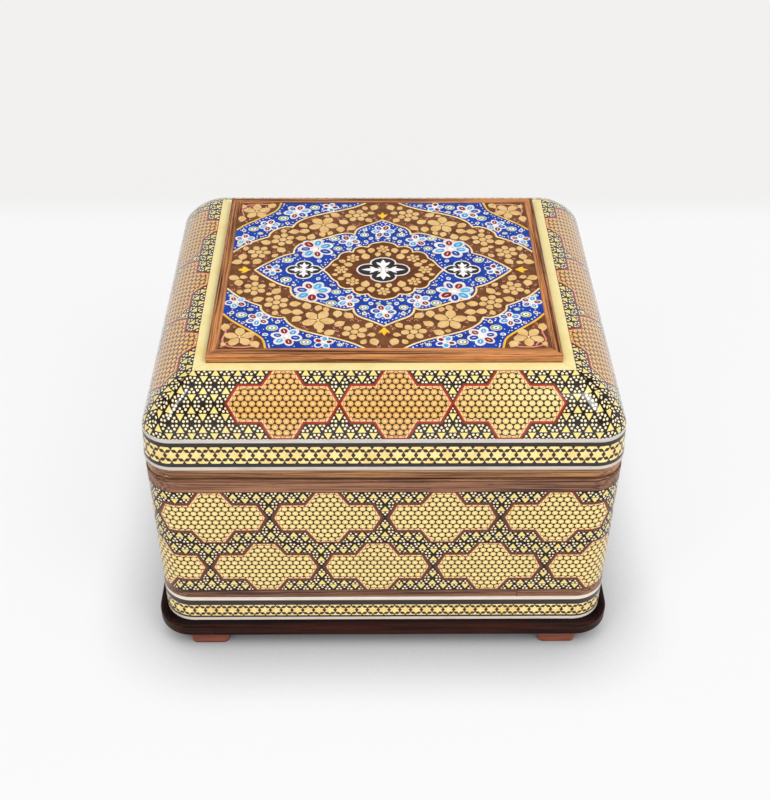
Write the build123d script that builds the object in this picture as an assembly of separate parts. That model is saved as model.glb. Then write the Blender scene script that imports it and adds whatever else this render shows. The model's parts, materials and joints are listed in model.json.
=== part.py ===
from build123d import *
import os
from math import cos, pi, sin

# Inlaid jewelry box: a case on a plinth with four feet, and a hinged lid with a raised picture panel.
# All sizes are in millimetres. X is the width, Y the depth with the front at -Y, Z is up.
# The origin is under the middle of the box, on the surface that the feet stand on.

# Plan of the case
body_width = 132.4
body_depth = 118.2
body_corner_radius = 9.2
veneer = 1.0
wall_thickness = 8.0

# Feet
foot_height = 5.0
foot_top_width = 12.8
foot_taper = 0.8
foot_corner_radius = 1.6
foot_inset_side = 9.0
foot_inset_front = 0.9

# Plinth
plinth_height = 4.9
plinth_overhang = 2.2
plinth_corner_radius = 10.4
plinth_top_slope = 0.9
plinth_strip_width = 10.0
plinth_bottom_round = 0.5
plinth_edge_round = 0.7

# Courses of the case, from the plinth up
body_white_line_lower_height = 1.15
body_black_line_lower_height = 0.75
body_star_band_height = 4.65
body_black_line_upper_height = 2.1
body_white_line_upper_height = 1.4
body_lower_strip_height = 3.0
body_mosaic_height = 39.85
body_rim_height = 4.2

# Gap between case and lid when it is shut
lid_gap = 0.3
rim_edge_round = 0.35

# Courses of the lid, from the gap up
lid_rim_height = 3.8
lid_white_line_lower_height = 1.05
lid_black_line_lower_height = 1.2
lid_star_band_height = 5.55
lid_black_line_upper_height = 1.35
lid_white_line_upper_height = 1.25
shoulder_height = 12.8

# Plan of the lid
lid_rim_setback = 0.55
lid_band_overhang = 0.65
lid_band_slope = 0.7
lid_corner_radius = 8.2
shoulder_run_side = 14.1
shoulder_run_front = 13.4
shoulder_roundness = 1.47
corner_fan = 0.56
corner_start_radius = 0.35
lid_board_thickness = 9.0

# Pale border and picture panel on the lid
border_width = 3.3
frame_width = 3.1
frame_height = 2.6
frame_edge_round = 0.6
plate_recess = 0.15

# Velvet linings
lining = 1.4
lining_setback = 1.2

# Hinges
hinge_inset = 28.2
hinge_length = 18.0
hinge_leaf_depth = 7.0
hinge_leaf_thickness = 0.8
knuckle_radius = 1.6
knuckle_gap = 0.15
knuckle_clearance = 0.25
pin_radius = 0.75
pin_clearance = 0.05
pin_offset = 0.45
screw_head_radius = 1.3
screw_shank_radius = 0.6
screw_length = 3.4
screw_spacing = 10.0
screw_from_pin = 4.6

# Planes and half sizes that follow from the sizes above
body_half_x = body_width / 2
body_half_y = body_depth / 2
core_half_x = body_half_x - veneer
core_half_y = body_half_y - veneer
core_radius = body_corner_radius - veneer
inside_half_x = core_half_x - wall_thickness
inside_half_y = core_half_y - wall_thickness

plinth_bottom = foot_height
plinth_top = plinth_bottom + plinth_height
plinth_half_x = body_half_x + plinth_overhang
plinth_half_y = body_half_y + plinth_overhang

body_white_lower_z = plinth_top
body_black_lower_z = body_white_lower_z + body_white_line_lower_height
body_star_z = body_black_lower_z + body_black_line_lower_height
body_black_upper_z = body_star_z + body_star_band_height
body_white_upper_z = body_black_upper_z + body_black_line_upper_height
body_strip_z = body_white_upper_z + body_white_line_upper_height
body_mosaic_z = body_strip_z + body_lower_strip_height
body_rim_z = body_mosaic_z + body_mosaic_height
body_top = body_rim_z + body_rim_height

lid_bottom = body_top + lid_gap
lid_white_lower_z = lid_bottom + lid_rim_height
lid_black_lower_z = lid_white_lower_z + lid_white_line_lower_height
lid_star_z = lid_black_lower_z + lid_black_line_lower_height
lid_black_upper_z = lid_star_z + lid_star_band_height
lid_white_upper_z = lid_black_upper_z + lid_black_line_upper_height
shoulder_z = lid_white_upper_z + lid_white_line_upper_height
lid_top = shoulder_z + shoulder_height
lid_core_top = lid_top - veneer
lid_board_z = lid_top - lid_board_thickness

rim_inset = lid_rim_setback
widest_inset = rim_inset - lid_band_overhang
band_top_inset = widest_inset + lid_band_slope
band_height = shoulder_z - lid_white_lower_z
lid_half_x = body_half_x - band_top_inset
lid_half_y = body_half_y - band_top_inset
border_half_x = lid_half_x - shoulder_run_side
border_half_y = lid_half_y - shoulder_run_front
panel_half_x = border_half_x - border_width
panel_half_y = border_half_y - border_width

hinge_axis_y = body_half_y + pin_offset
hinge_axis_z = body_top + lid_gap / 2

# Working values: how near a height an edge is taken to lie, how far a cutting block reaches past what it
# cuts, and how many lengths the shoulder's curve is drawn in
edge_tolerance = 0.01
overcut = 1.0
shoulder_steps = 6

nodes = {}


def slab(half_x, half_y, radius, z):
    """A horizontal face with rounded corners at height z."""
    return (Plane.XY.offset(z) * RectangleRounded(2 * half_x, 2 * half_y, radius)).face()


def block(z_low, low, z_high, high):
    """A solid between two rounded rectangles, each given as half x, half y and corner radius."""
    return loft([slab(*low, z_low), slab(*high, z_high)], ruled=True)


def prism(half_x, half_y, z_low, z_high):
    """A square-cornered block centred on the Z axis."""
    return Pos(0, 0, (z_low + z_high) / 2) * Box(2 * half_x, 2 * half_y, z_high - z_low)


def between(x0, x1, y0, y1, z0, z1):
    """A square-cornered block between two corners."""
    return Pos((x0 + x1) / 2, (y0 + y1) / 2, (z0 + z1) / 2) * Box(x1 - x0, y1 - y0, z1 - z0)


def wedges(half_x, half_y, run_x=1.0, run_y=1.0):
    """Four upright wedges that meet on mitre lines through the corners of a rectangle."""
    reach = body_width / min(run_x, run_y)
    far_x = half_x + reach * run_x
    far_y = half_y + reach * run_y
    outlines = {
        "front": [(-half_x, -half_y), (-far_x, -far_y), (far_x, -far_y), (half_x, -half_y)],
        "back": [(-half_x, half_y), (half_x, half_y), (far_x, far_y), (-far_x, far_y)],
        "left": [(-half_x, -half_y), (-half_x, half_y), (-far_x, far_y), (-far_x, -far_y)],
        "right": [(half_x, -half_y), (far_x, -far_y), (far_x, far_y), (half_x, half_y)],
    }
    tall = 2 * (lid_top + frame_height)
    faces = {side: make_face(Polyline(*points, close=True)) for side, points in outlines.items()}
    return {side: extrude(face, tall) for side, face in faces.items()}


def edges_at(solid, z):
    """The outline edges that lie level at height z."""
    boxes = [(edge, edge.bounding_box()) for edge in solid.edges()]
    return [edge for edge, box in boxes if max(abs(box.min.Z - z), abs(box.max.Z - z)) < edge_tolerance]


def keep(name, *solids):
    """Stores a node as one solid or a group of separate solids."""
    found = [solid for shape in solids for solid in shape.solids()]
    nodes[name] = found[0] if len(found) == 1 else Compound(children=found)


def mitred(shape, half_x, half_y):
    """The four mitred lengths of a ring, by side."""
    return {side: shape & wedge for side, wedge in wedges(half_x, half_y).items()}


def for_corners():
    """The four corners as name, X sign and Y sign."""
    return [("front_left", -1, -1), ("front_right", 1, -1), ("back_left", -1, 1), ("back_right", 1, 1)]


# Feet: tapered blocks glued under the plinth
def make_feet():
    half = foot_top_width / 2
    low = half - foot_taper
    foot = block(0, (low, low, foot_corner_radius), foot_height, (half, half, foot_corner_radius))
    x = plinth_half_x - foot_inset_side - half
    y = plinth_half_y - foot_inset_front - half
    for corner, sx, sy in for_corners():
        keep("foot_" + corner, Pos(sx * x, sy * y, 0) * foot)


# Plinth: four straight mouldings and four rounded corner blocks round the bottom board
def make_plinth():
    slope_z = plinth_top - plinth_top_slope
    outer = (plinth_half_x, plinth_half_y, plinth_corner_radius)
    top = (body_half_x, body_half_y, max(plinth_corner_radius - plinth_overhang, plinth_top_slope))
    low = tuple(size - plinth_bottom_round for size in outer)
    round_z = plinth_bottom + plinth_bottom_round
    solid = block(plinth_bottom, low, round_z, outer) + block(round_z, outer, slope_z, outer)
    solid += block(slope_z, outer, plinth_top, top)
    solid = fillet(edges_at(solid, slope_z), plinth_edge_round)
    hole_x = plinth_half_x - plinth_strip_width
    hole_y = plinth_half_y - plinth_strip_width
    ring = solid - prism(hole_x, hole_y, 0, plinth_top + overcut)
    straight_x = min(plinth_half_x - plinth_corner_radius, hole_x)
    straight_y = min(plinth_half_y - plinth_corner_radius, hole_y)
    across = prism(straight_x, plinth_half_y + overcut, 0, plinth_top + overcut)
    along = prism(plinth_half_x + overcut, straight_y, 0, plinth_top + overcut)
    far = plinth_half_x + plinth_half_y
    keep("plinth_front", ring & across & between(-far, far, -far, 0, 0, plinth_top))
    keep("plinth_back", ring & across & between(-far, far, 0, far, 0, plinth_top))
    keep("plinth_left", ring & along & between(-far, 0, -far, far, 0, plinth_top))
    keep("plinth_right", ring & along & between(0, far, -far, far, 0, plinth_top))
    keep("plinth_corners", ring - across - along)
    keep("bottom_board", prism(hole_x, hole_y, plinth_bottom, plinth_top))


# Case walls: four mitred boards, rounded outside and square inside
def make_walls():
    core = (core_half_x, core_half_y, core_radius)
    ring = block(plinth_top, core, body_rim_z, core) - prism(inside_half_x, inside_half_y, 0, body_top)
    for side, board in mitred(ring, inside_half_x, inside_half_y).items():
        keep("wall_" + side, board)


# Skins on the case walls: mosaic sheets, wooden strip, white and black lines and the star band
def body_course(z_low, height):
    outer = (body_half_x, body_half_y, body_corner_radius)
    inner = (core_half_x, core_half_y, core_radius)
    z_high = z_low + height
    return block(z_low, outer, z_high, outer) - block(z_low, inner, z_high, inner)


def make_body_skins():
    mosaic = body_course(body_mosaic_z, body_mosaic_height)
    start_x = body_half_x - body_corner_radius
    start_y = body_half_y - body_corner_radius
    for side, sheet in mitred(mosaic, start_x, start_y).items():
        keep("body_mosaic_" + side, sheet)
    keep("body_lower_strip", body_course(body_strip_z, body_lower_strip_height))
    keep("body_white_line_upper", body_course(body_white_upper_z, body_white_line_upper_height))
    keep("body_black_line_upper", body_course(body_black_upper_z, body_black_line_upper_height))
    keep("body_star_band", body_course(body_star_z, body_star_band_height))
    keep("body_black_line_lower", body_course(body_black_lower_z, body_black_line_lower_height))
    keep("body_white_line_lower", body_course(body_white_lower_z, body_white_line_lower_height))


# Rim of the case: solid edging over the full wall, mortised for the hinges
def make_body_rim():
    outer = (body_half_x, body_half_y, body_corner_radius)
    solid = block(body_rim_z, outer, body_top, outer)
    solid = fillet(edges_at(solid, body_top), rim_edge_round)
    ring = solid - prism(inside_half_x, inside_half_y, 0, body_top + overcut)
    for cutter in hinge_cutters(-1):
        ring -= cutter
    keep("body_rim_strip", *mitred(ring, inside_half_x, inside_half_y).values())


# Lid: top board with the rounded shoulder, four mitred sides under it
def shoulder_section(fraction_angle, inset, top_z):
    """One rounded rectangle of the shoulder; the angle runs from the border edge to the band."""
    power = 2 / shoulder_roundness
    out = sin(fraction_angle) ** power
    down = 1 - max(cos(fraction_angle), 0) ** power
    half_x = border_half_x + (shoulder_run_side - inset) * out
    half_y = border_half_y + (shoulder_run_front - inset) * out
    radius = max(corner_start_radius, (lid_corner_radius - inset) * out ** corner_fan)
    return slab(half_x, half_y, radius, top_z - (top_z - shoulder_z) * down)


def shoulder_solid(inset, top_z):
    """The rounded cap from the band up to the flat top."""
    angles = [pi / 2 * step / shoulder_steps for step in range(shoulder_steps + 1)]
    return loft([shoulder_section(angle, inset, top_z) for angle in reversed(angles)])


def make_lid_core():
    side = (lid_half_x - veneer, lid_half_y - veneer, lid_corner_radius - veneer)
    cap = shoulder_solid(veneer, lid_core_top)
    low = block(lid_white_lower_z, side, shoulder_z, side)
    far = body_width
    split = between(-far, far, -far, far, 0, lid_board_z)
    ring = (low + (cap & split)) - prism(inside_half_x, inside_half_y, 0, lid_board_z)
    for name, board in mitred(ring, inside_half_x, inside_half_y).items():
        keep("lid_side_" + name, board)
    keep("lid_top_board", cap - split)
    flat = prism(border_half_x, border_half_y, shoulder_z, lid_top + overcut)
    skin = shoulder_solid(0, lid_top) - cap - flat
    cuts = wedges(border_half_x, border_half_y, shoulder_run_side, shoulder_run_front)
    for name, wedge in cuts.items():
        keep("lid_mosaic_" + name, skin & wedge)


# Band round the lid: each course flares a little towards the bottom
def lid_course(z_low, height):
    side = (lid_half_x - veneer, lid_half_y - veneer, lid_corner_radius - veneer)
    z_high = z_low + height
    flare_low = lid_band_slope * (shoulder_z - z_low) / band_height
    flare_high = lid_band_slope * (shoulder_z - z_high) / band_height
    low = (lid_half_x + flare_low, lid_half_y + flare_low, lid_corner_radius + flare_low)
    high = (lid_half_x + flare_high, lid_half_y + flare_high, lid_corner_radius + flare_high)
    return block(z_low, low, z_high, high) - block(z_low, side, z_high, side)


def make_lid_band():
    keep("lid_white_line_upper", lid_course(lid_white_upper_z, lid_white_line_upper_height))
    keep("lid_black_line_upper", lid_course(lid_black_upper_z, lid_black_line_upper_height))
    keep("lid_star_band", lid_course(lid_star_z, lid_star_band_height))
    keep("lid_black_line_lower", lid_course(lid_black_lower_z, lid_black_line_lower_height))
    keep("lid_white_line_lower", lid_course(lid_white_lower_z, lid_white_line_lower_height))
    low = (body_half_x - rim_inset, body_half_y - rim_inset, lid_corner_radius)
    high = (body_half_x - widest_inset, body_half_y - widest_inset, lid_corner_radius + lid_band_slope)
    solid = block(lid_bottom, low, lid_white_lower_z, high)
    solid = fillet(edges_at(solid, lid_bottom), rim_edge_round)
    ring = solid - prism(inside_half_x, inside_half_y, 0, lid_top)
    for cutter in hinge_cutters(1):
        ring -= cutter
    keep("lid_rim_strip", *mitred(ring, inside_half_x, inside_half_y).values())


# Pale border and the raised picture panel: mitred frame round a painted plate
def make_top_panel():
    border = prism(border_half_x, border_half_y, lid_core_top, lid_top)
    border -= prism(panel_half_x, panel_half_y, 0, lid_top + overcut)
    keep("border_strips", *mitred(border, panel_half_x, panel_half_y).values())
    frame_top = lid_top + frame_height
    plate_half_x = panel_half_x - frame_width
    plate_half_y = panel_half_y - frame_width
    frame = prism(panel_half_x, panel_half_y, lid_core_top, frame_top)
    frame -= prism(plate_half_x, plate_half_y, 0, frame_top + overcut)
    outer_edges = [
        edge
        for edge in frame.edges().group_by(Axis.Z)[-1]
        if abs(edge.center().X) > plate_half_x + frame_width / 2
        or abs(edge.center().Y) > plate_half_y + frame_width / 2
    ]
    frame = fillet(outer_edges, frame_edge_round)
    for side, strip in mitred(frame, plate_half_x, plate_half_y).items():
        keep("panel_frame_" + side, strip)
    keep("painted_plate", prism(plate_half_x, plate_half_y, lid_core_top, frame_top - plate_recess))


# Velvet linings of the case and the lid
def lining_set(half_x, half_y, z_low, z_high):
    """Front, back, left and right lining boards that stand against the inner faces."""
    return {
        "front": between(-half_x, half_x, -half_y, -half_y + lining, z_low, z_high),
        "back": between(-half_x, half_x, half_y - lining, half_y, z_low, z_high),
        "left": between(-half_x, -half_x + lining, -half_y + lining, half_y - lining, z_low, z_high),
        "right": between(half_x - lining, half_x, -half_y + lining, half_y - lining, z_low, z_high),
    }


def make_linings():
    case = lining_set(inside_half_x, inside_half_y, plinth_top, body_top - lining_setback)
    keep("case_side_lining", *case.values())
    pad_x = inside_half_x - lining
    pad_y = inside_half_y - lining
    keep("floor_lining", prism(pad_x, pad_y, plinth_top, plinth_top + lining))
    lid = lining_set(inside_half_x, inside_half_y, lid_bottom + lining_setback, lid_board_z)
    keep("lid_side_lining", *lid.values())
    keep("lid_top_lining", prism(pad_x, pad_y, lid_board_z - lining, lid_board_z))


# Hinges: two brass butt hinges, each with a case leaf, a lid leaf, a pin and screws
def hinge_places():
    """The two hinges as name and middle X."""
    return [("left", hinge_inset - body_half_x), ("right", body_half_x - hinge_inset)]


def barrel(radius, x0, x1):
    """A round bar on the hinge axis between two X places."""
    bar = Rot(0, 90, 0) * Cylinder(radius, x1 - x0)
    return Pos((x0 + x1) / 2, hinge_axis_y, hinge_axis_z) * bar


def leaf_plate(side, x):
    """The flat part of a leaf; side is -1 on the case and 1 on the lid."""
    face_z = hinge_axis_z + side * lid_gap / 2
    z0, z1 = sorted((face_z, face_z + side * hinge_leaf_thickness))
    y0 = hinge_axis_y - hinge_leaf_depth
    return between(x - hinge_length / 2, x + hinge_length / 2, y0, hinge_axis_y, z0, z1)


def knuckles(side, x):
    """Outer knuckles on the case leaf, the middle one on the lid leaf."""
    third = hinge_length / 3
    if side > 0:
        return barrel(knuckle_radius, x - third / 2 + knuckle_gap, x + third / 2 - knuckle_gap)
    end = hinge_length / 2
    return barrel(knuckle_radius, x - end, x - third / 2) + barrel(knuckle_radius, x + third / 2, x + end)


def knuckle_room(x):
    """Space in the lid leaf for the two case knuckles of a hinge."""
    near = hinge_length / 6 - knuckle_gap
    far = hinge_length / 2 + overcut
    radius = knuckle_radius + knuckle_clearance
    return barrel(radius, x - far, x - near) + barrel(radius, x + near, x + far)


def screw(side, x):
    """A countersunk screw driven into the case rim or the lid rim."""
    face_z = hinge_axis_z + side * lid_gap / 2
    head = Cone(screw_shank_radius, screw_head_radius, hinge_leaf_thickness)
    shank = Cylinder(screw_shank_radius, screw_length - hinge_leaf_thickness)
    solid = Pos(0, 0, -hinge_leaf_thickness / 2) * head
    solid += Pos(0, 0, -(screw_length + hinge_leaf_thickness) / 2) * shank
    if side > 0:
        solid = Rot(180, 0, 0) * solid
    return Pos(x, hinge_axis_y - screw_from_pin, face_z) * solid


def hinge_screws(side, x):
    """The two screws of one leaf."""
    return [screw(side, x + end * screw_spacing / 2) for end in (-1, 1)]


def hinge_cutters(side):
    """What the rim loses to both hinges: leaf mortise, knuckle groove and screw holes."""
    cutters = []
    for _, x in hinge_places():
        half = hinge_length / 2 + knuckle_clearance
        cutters.append(barrel(knuckle_radius + knuckle_clearance, x - half, x + half))
        cutters.append(leaf_plate(side, x))
        cutters.extend(hinge_screws(side, x))
    return cutters


def make_hinges():
    third = hinge_length / 3
    for name, x in hinge_places():
        middle = barrel(knuckle_radius + knuckle_clearance, x - third / 2, x + third / 2)
        case_leaf = (leaf_plate(-1, x) - middle) + knuckles(-1, x)
        lid_leaf = (leaf_plate(1, x) - knuckle_room(x)) + knuckles(1, x)
        case_leaf -= barrel(pin_radius, x - hinge_length, x + hinge_length)
        lid_leaf -= barrel(pin_radius + pin_clearance, x - hinge_length, x + hinge_length)
        for hole in hinge_screws(-1, x):
            case_leaf -= hole
        for hole in hinge_screws(1, x):
            lid_leaf -= hole
        keep("hinge_case_leaf_" + name, case_leaf)
        keep("hinge_lid_leaf_" + name, lid_leaf)
        keep("hinge_pin_" + name, barrel(pin_radius, x - hinge_length / 2, x + hinge_length / 2))
    keep("hinge_screws_case", *[part for _, x in hinge_places() for part in hinge_screws(-1, x)])
    keep("hinge_screws_lid", *[part for _, x in hinge_places() for part in hinge_screws(1, x)])


def main():
    make_feet()
    make_plinth()
    make_walls()
    make_body_skins()
    make_body_rim()
    make_lid_core()
    make_lid_band()
    make_top_panel()
    make_linings()
    make_hinges()
    os.makedirs("parts", exist_ok=True)
    for name, shape in nodes.items():
        shape.label = name
        export_step(shape, "parts/" + name + ".step")
    print(len(nodes), "nodes")


main()
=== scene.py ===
"""A hinged keepsake box with star and cartouche inlay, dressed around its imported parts."""

import json
import logging
import math
import random
from dataclasses import dataclass, replace
from enum import Enum
from typing import Union

import bmesh
import bpy
from mathutils import Matrix, Vector

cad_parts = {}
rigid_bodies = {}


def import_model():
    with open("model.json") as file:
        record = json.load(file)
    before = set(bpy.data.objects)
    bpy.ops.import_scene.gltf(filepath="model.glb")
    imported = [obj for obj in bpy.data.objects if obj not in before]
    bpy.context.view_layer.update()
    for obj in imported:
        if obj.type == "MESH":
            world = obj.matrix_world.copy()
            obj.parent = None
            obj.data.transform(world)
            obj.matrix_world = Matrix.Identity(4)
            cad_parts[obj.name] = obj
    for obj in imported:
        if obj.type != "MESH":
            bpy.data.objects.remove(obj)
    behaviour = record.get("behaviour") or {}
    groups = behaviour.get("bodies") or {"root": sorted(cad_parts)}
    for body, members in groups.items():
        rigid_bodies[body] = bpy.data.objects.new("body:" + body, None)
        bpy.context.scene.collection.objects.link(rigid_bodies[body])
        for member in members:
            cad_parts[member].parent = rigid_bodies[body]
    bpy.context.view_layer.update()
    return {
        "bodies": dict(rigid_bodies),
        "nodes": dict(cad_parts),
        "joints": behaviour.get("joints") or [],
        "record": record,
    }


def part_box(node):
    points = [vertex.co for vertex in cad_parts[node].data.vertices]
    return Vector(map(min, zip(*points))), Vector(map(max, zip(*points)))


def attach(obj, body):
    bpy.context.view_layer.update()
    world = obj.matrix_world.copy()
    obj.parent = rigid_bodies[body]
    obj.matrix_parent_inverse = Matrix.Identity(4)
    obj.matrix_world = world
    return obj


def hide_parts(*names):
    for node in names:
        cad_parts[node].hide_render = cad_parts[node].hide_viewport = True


LOG = logging.getLogger("keepsake_box")
MM = 0.001
SEEN_RAYS = ("Is Camera Ray", "Is Glossy Ray", "Is Transmission Ray")
Colour = tuple[float, float, float, float]
Socket = bpy.types.NodeSocket


def tone(red: int, green: int, blue: int) -> Colour:
    """A colour from the usual 0 to 255 numbers.

    Args:
        red: Red, from 0 to 255.
        green: Green, from 0 to 255.
        blue: Blue, from 0 to 255.

    Returns:
        The same colour as linear light, with full opacity.
    """

    def linear(value: int) -> float:
        """One channel as linear light."""
        share = value / 255
        return share / 12.92 if share <= 0.04045 else ((share + 0.055) / 1.055) ** 2.4

    return linear(red), linear(green), linear(blue), 1.0


class Signal:
    """A number that a node tree carries, with Python's own arithmetic."""

    def __init__(self, graph: "Graph", socket: Socket) -> None:
        """Keeps the graph and the socket that gives the number."""
        self.graph = graph
        self.socket = socket

    def turned(self, operation: str, *others: "Number", clamp: bool = False) -> "Signal":
        """Adds one math node.

        Args:
            operation: The math node's operation.
            others: The second and third numbers, where the operation takes them.
            clamp: Whether the result is kept from 0 to 1.

        Returns:
            The node's result.
        """
        node = self.graph.nodes.new("ShaderNodeMath")
        node.operation = operation
        node.use_clamp = clamp
        for index, value in enumerate((self, *others)):
            self.graph.put(value, node.inputs[index])
        return Signal(self.graph, node.outputs[0])

    def __add__(self, other: "Number") -> "Signal":
        """The sum."""
        return self.turned("ADD", other)

    def __sub__(self, other: "Number") -> "Signal":
        """The difference."""
        return self.turned("SUBTRACT", other)

    def __rsub__(self, other: float) -> "Signal":
        """A plain number less this one."""
        return self.turned("MULTIPLY_ADD", -1.0, other)

    def __mul__(self, other: "Number") -> "Signal":
        """The product."""
        return self.turned("MULTIPLY", other)

    def __truediv__(self, other: "Number") -> "Signal":
        """The quotient."""
        return self.turned("DIVIDE", other)

    def __abs__(self) -> "Signal":
        """The size without its sign."""
        return self.turned("ABSOLUTE")

    def fraction(self) -> "Signal":
        """What is left over the whole number below."""
        return self.turned("FRACT")

    def above(self, limit: "Number") -> "Signal":
        """1 where this is more than the limit, and otherwise 0."""
        return self.turned("GREATER_THAN", limit)

    def below(self, limit: "Number") -> "Signal":
        """1 where this is less than the limit, and otherwise 0."""
        return self.turned("LESS_THAN", limit)

    def least(self, other: "Number") -> "Signal":
        """The smaller of the two."""
        return self.turned("MINIMUM", other)

    def most(self, other: "Number") -> "Signal":
        """The larger of the two."""
        return self.turned("MAXIMUM", other)

    def power(self, exponent: float) -> "Signal":
        """This number raised to a power."""
        return self.turned("POWER", exponent)

    def between(self, low: float, high: float) -> "Signal":
        """Runs smoothly from 0 at low to 1 at high.

        Args:
            low: Where it is 0; it may be more than high.
            high: Where it is 1.

        Returns:
            The number from 0 to 1.
        """
        node = self.graph.nodes.new("ShaderNodeMapRange")
        node.interpolation_type = "SMOOTHSTEP"
        self.graph.put(self, node.inputs["Value"])
        node.inputs["From Min"].default_value = low
        node.inputs["From Max"].default_value = high
        return Signal(self.graph, node.outputs["Result"])


Number = Union[Signal, float]


class Graph:
    """The nodes of a material or of the world, under construction."""

    def __init__(self, owner: Union[bpy.types.Material, bpy.types.World]) -> None:
        """Starts with no nodes.

        Args:
            owner: The material or the world.
        """
        owner.use_nodes = True
        self.owner = owner
        self.nodes, self.links = owner.node_tree.nodes, owner.node_tree.links
        self.nodes.clear()

    @classmethod
    def material(cls, name: str) -> "Graph":
        """Starts a new material of the given name."""
        return cls(bpy.data.materials.new(name))

    def where(self, output: str) -> Socket:
        """A vector of the place or direction that is shaded, by its output's name."""
        return self.nodes.new("ShaderNodeTexCoord").outputs[output]

    def put(self, value: Union[Number, Colour, Socket], socket: Socket) -> None:
        """Sets a socket to a constant, or links a result to it.

        Args:
            value: A constant, a signal or another node's socket.
            socket: The socket that takes it.
        """
        if isinstance(value, Signal):
            self.links.new(value.socket, socket)
        elif isinstance(value, bpy.types.NodeSocket):
            self.links.new(value, socket)
        else:
            socket.default_value = value

    def apart(self, vector: Socket) -> tuple[Signal, Signal, Signal]:
        """Takes a vector apart.

        Args:
            vector: The vector.

        Returns:
            Its three coordinates.
        """
        node = self.nodes.new("ShaderNodeSeparateXYZ")
        self.links.new(vector, node.inputs[0])
        return tuple(Signal(self, socket) for socket in node.outputs)

    def millimetres(self) -> tuple[Signal, Signal, Signal]:
        """The three coordinates of the shaded point on its piece, in millimetres."""
        return self.apart(self.scaled(self.where("Object"), 1 / MM).socket)

    def point(self, x: Number, y: Number, z: Number) -> Socket:
        """Puts a vector together.

        Args:
            x: Its first coordinate.
            y: Its second.
            z: Its third.

        Returns:
            The vector.
        """
        node = self.nodes.new("ShaderNodeCombineXYZ")
        for value, socket in zip((x, y, z), node.inputs):
            self.put(value, socket)
        return node.outputs[0]

    def pick(self, share: Signal, low: Number, high: Number) -> Signal:
        """A number that goes from low to high as the share goes from 0 to 1.

        Args:
            share: How far it has gone, from 0 to 1.
            low: What it is at 0.
            high: What it is at 1.

        Returns:
            The number.
        """
        node = self.nodes.new("ShaderNodeMix")
        self.put(share, node.inputs[0])
        self.put(low, node.inputs[2])
        self.put(high, node.inputs[3])
        return Signal(self, node.outputs[0])

    def blend(self, share: Number, low: Union[Signal, Colour], high: Union[Signal, Colour]) -> Signal:
        """A colour that goes from low to high as the share goes from 0 to 1.

        Args:
            share: How far it has gone, from 0 to 1.
            low: What it is at 0.
            high: What it is at 1.

        Returns:
            The colour.
        """
        node = self.nodes.new("ShaderNodeMix")
        node.data_type = "RGBA"
        self.put(share, node.inputs[0])
        self.put(low, node.inputs[6])
        self.put(high, node.inputs[7])
        return Signal(self, node.outputs[2])

    def scaled(self, vector: Union[Signal, Socket], share: Number) -> Signal:
        """Multiplies a colour or another vector by a number.

        Args:
            vector: The vector.
            share: The number.

        Returns:
            The product.
        """
        node = self.nodes.new("ShaderNodeVectorMath")
        node.operation = "SCALE"
        self.put(vector, node.inputs[0])
        self.put(share, node.inputs["Scale"])
        return Signal(self, node.outputs[0])

    def noise(self, where: Socket, scale: float, detail: float = 2.0, rough: float = 0.5) -> Signal:
        """Cloudy noise from 0 to 1.

        Args:
            where: The vector that it is read at.
            scale: Lumps in each unit of that vector.
            detail: How many finer layers it has.
            rough: How strong the finer layers are.

        Returns:
            The noise.
        """
        node = self.nodes.new("ShaderNodeTexNoise")
        self.links.new(where, node.inputs["Vector"])
        node.inputs["Scale"].default_value = scale
        node.inputs["Detail"].default_value = detail
        node.inputs["Roughness"].default_value = rough
        return Signal(self, node.outputs["Fac"])

    def curve(self, value: Signal, points: list[tuple[float, float]]) -> Signal:
        """Reads a number off a smooth curve.

        Args:
            value: How far along the curve, from 0 to 1.
            points: The curve's points, both ways from 0 to 1.

        Returns:
            The height of the curve there.
        """
        node = self.nodes.new("ShaderNodeFloatCurve")
        line = node.mapping.curves[0]
        line.points[0].location = points[0]
        line.points[1].location = points[-1]
        for point in points[1:-1]:
            line.points.new(*point)
        node.mapping.update()
        self.put(value, node.inputs["Value"])
        return Signal(self, node.outputs["Value"])

    def bump(self, height: Signal, depth: float, strength: float) -> Socket:
        """A bent normal.

        Args:
            height: The height, from 0 to 1.
            depth: What a height of 1 is, in metres.
            strength: How much of the bend shows.

        Returns:
            The normal's socket.
        """
        node = self.nodes.new("ShaderNodeBump")
        node.inputs["Strength"].default_value = strength
        node.inputs["Distance"].default_value = depth
        self.put(height, node.inputs["Height"])
        return node.outputs["Normal"]

    def shader(self, kind: str, **sockets: Union[Number, Colour, Socket]) -> Socket:
        """Adds a shader.

        Args:
            kind: Its node's type.
            sockets: Values by socket name, with underscores for spaces.

        Returns:
            What it gives.
        """
        node = self.nodes.new(kind)
        for name, value in sockets.items():
            self.put(value, node.inputs[name.replace("_", " ")])
        return node.outputs[0]

    def seen_or(self, share: Number, lighting: Socket, seen: Socket) -> Socket:
        """One shader for what lights the scene and another for what is looked at.

        Args:
            share: How much of the second shows where it is looked at.
            lighting: The shader that lights the scene.
            seen: The shader that shows, also in mirrors and through glass.

        Returns:
            The two together.
        """
        rays = self.nodes.new("ShaderNodeLightPath").outputs
        straight, mirrored, through = (Signal(self, rays[ray]) for ray in SEEN_RAYS)
        node = self.nodes.new("ShaderNodeMixShader")
        values = (straight.most(mirrored).most(through) * share, lighting, seen)
        for value, socket in zip(values, node.inputs):
            self.put(value, socket)
        return node.outputs[0]

    def close(self, kind: str, shader: Socket) -> Union[bpy.types.Material, bpy.types.World]:
        """Gives the shader to the output of the given type, and returns the owner."""
        self.links.new(shader, self.nodes.new(kind).inputs[0])
        return self.owner

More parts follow.
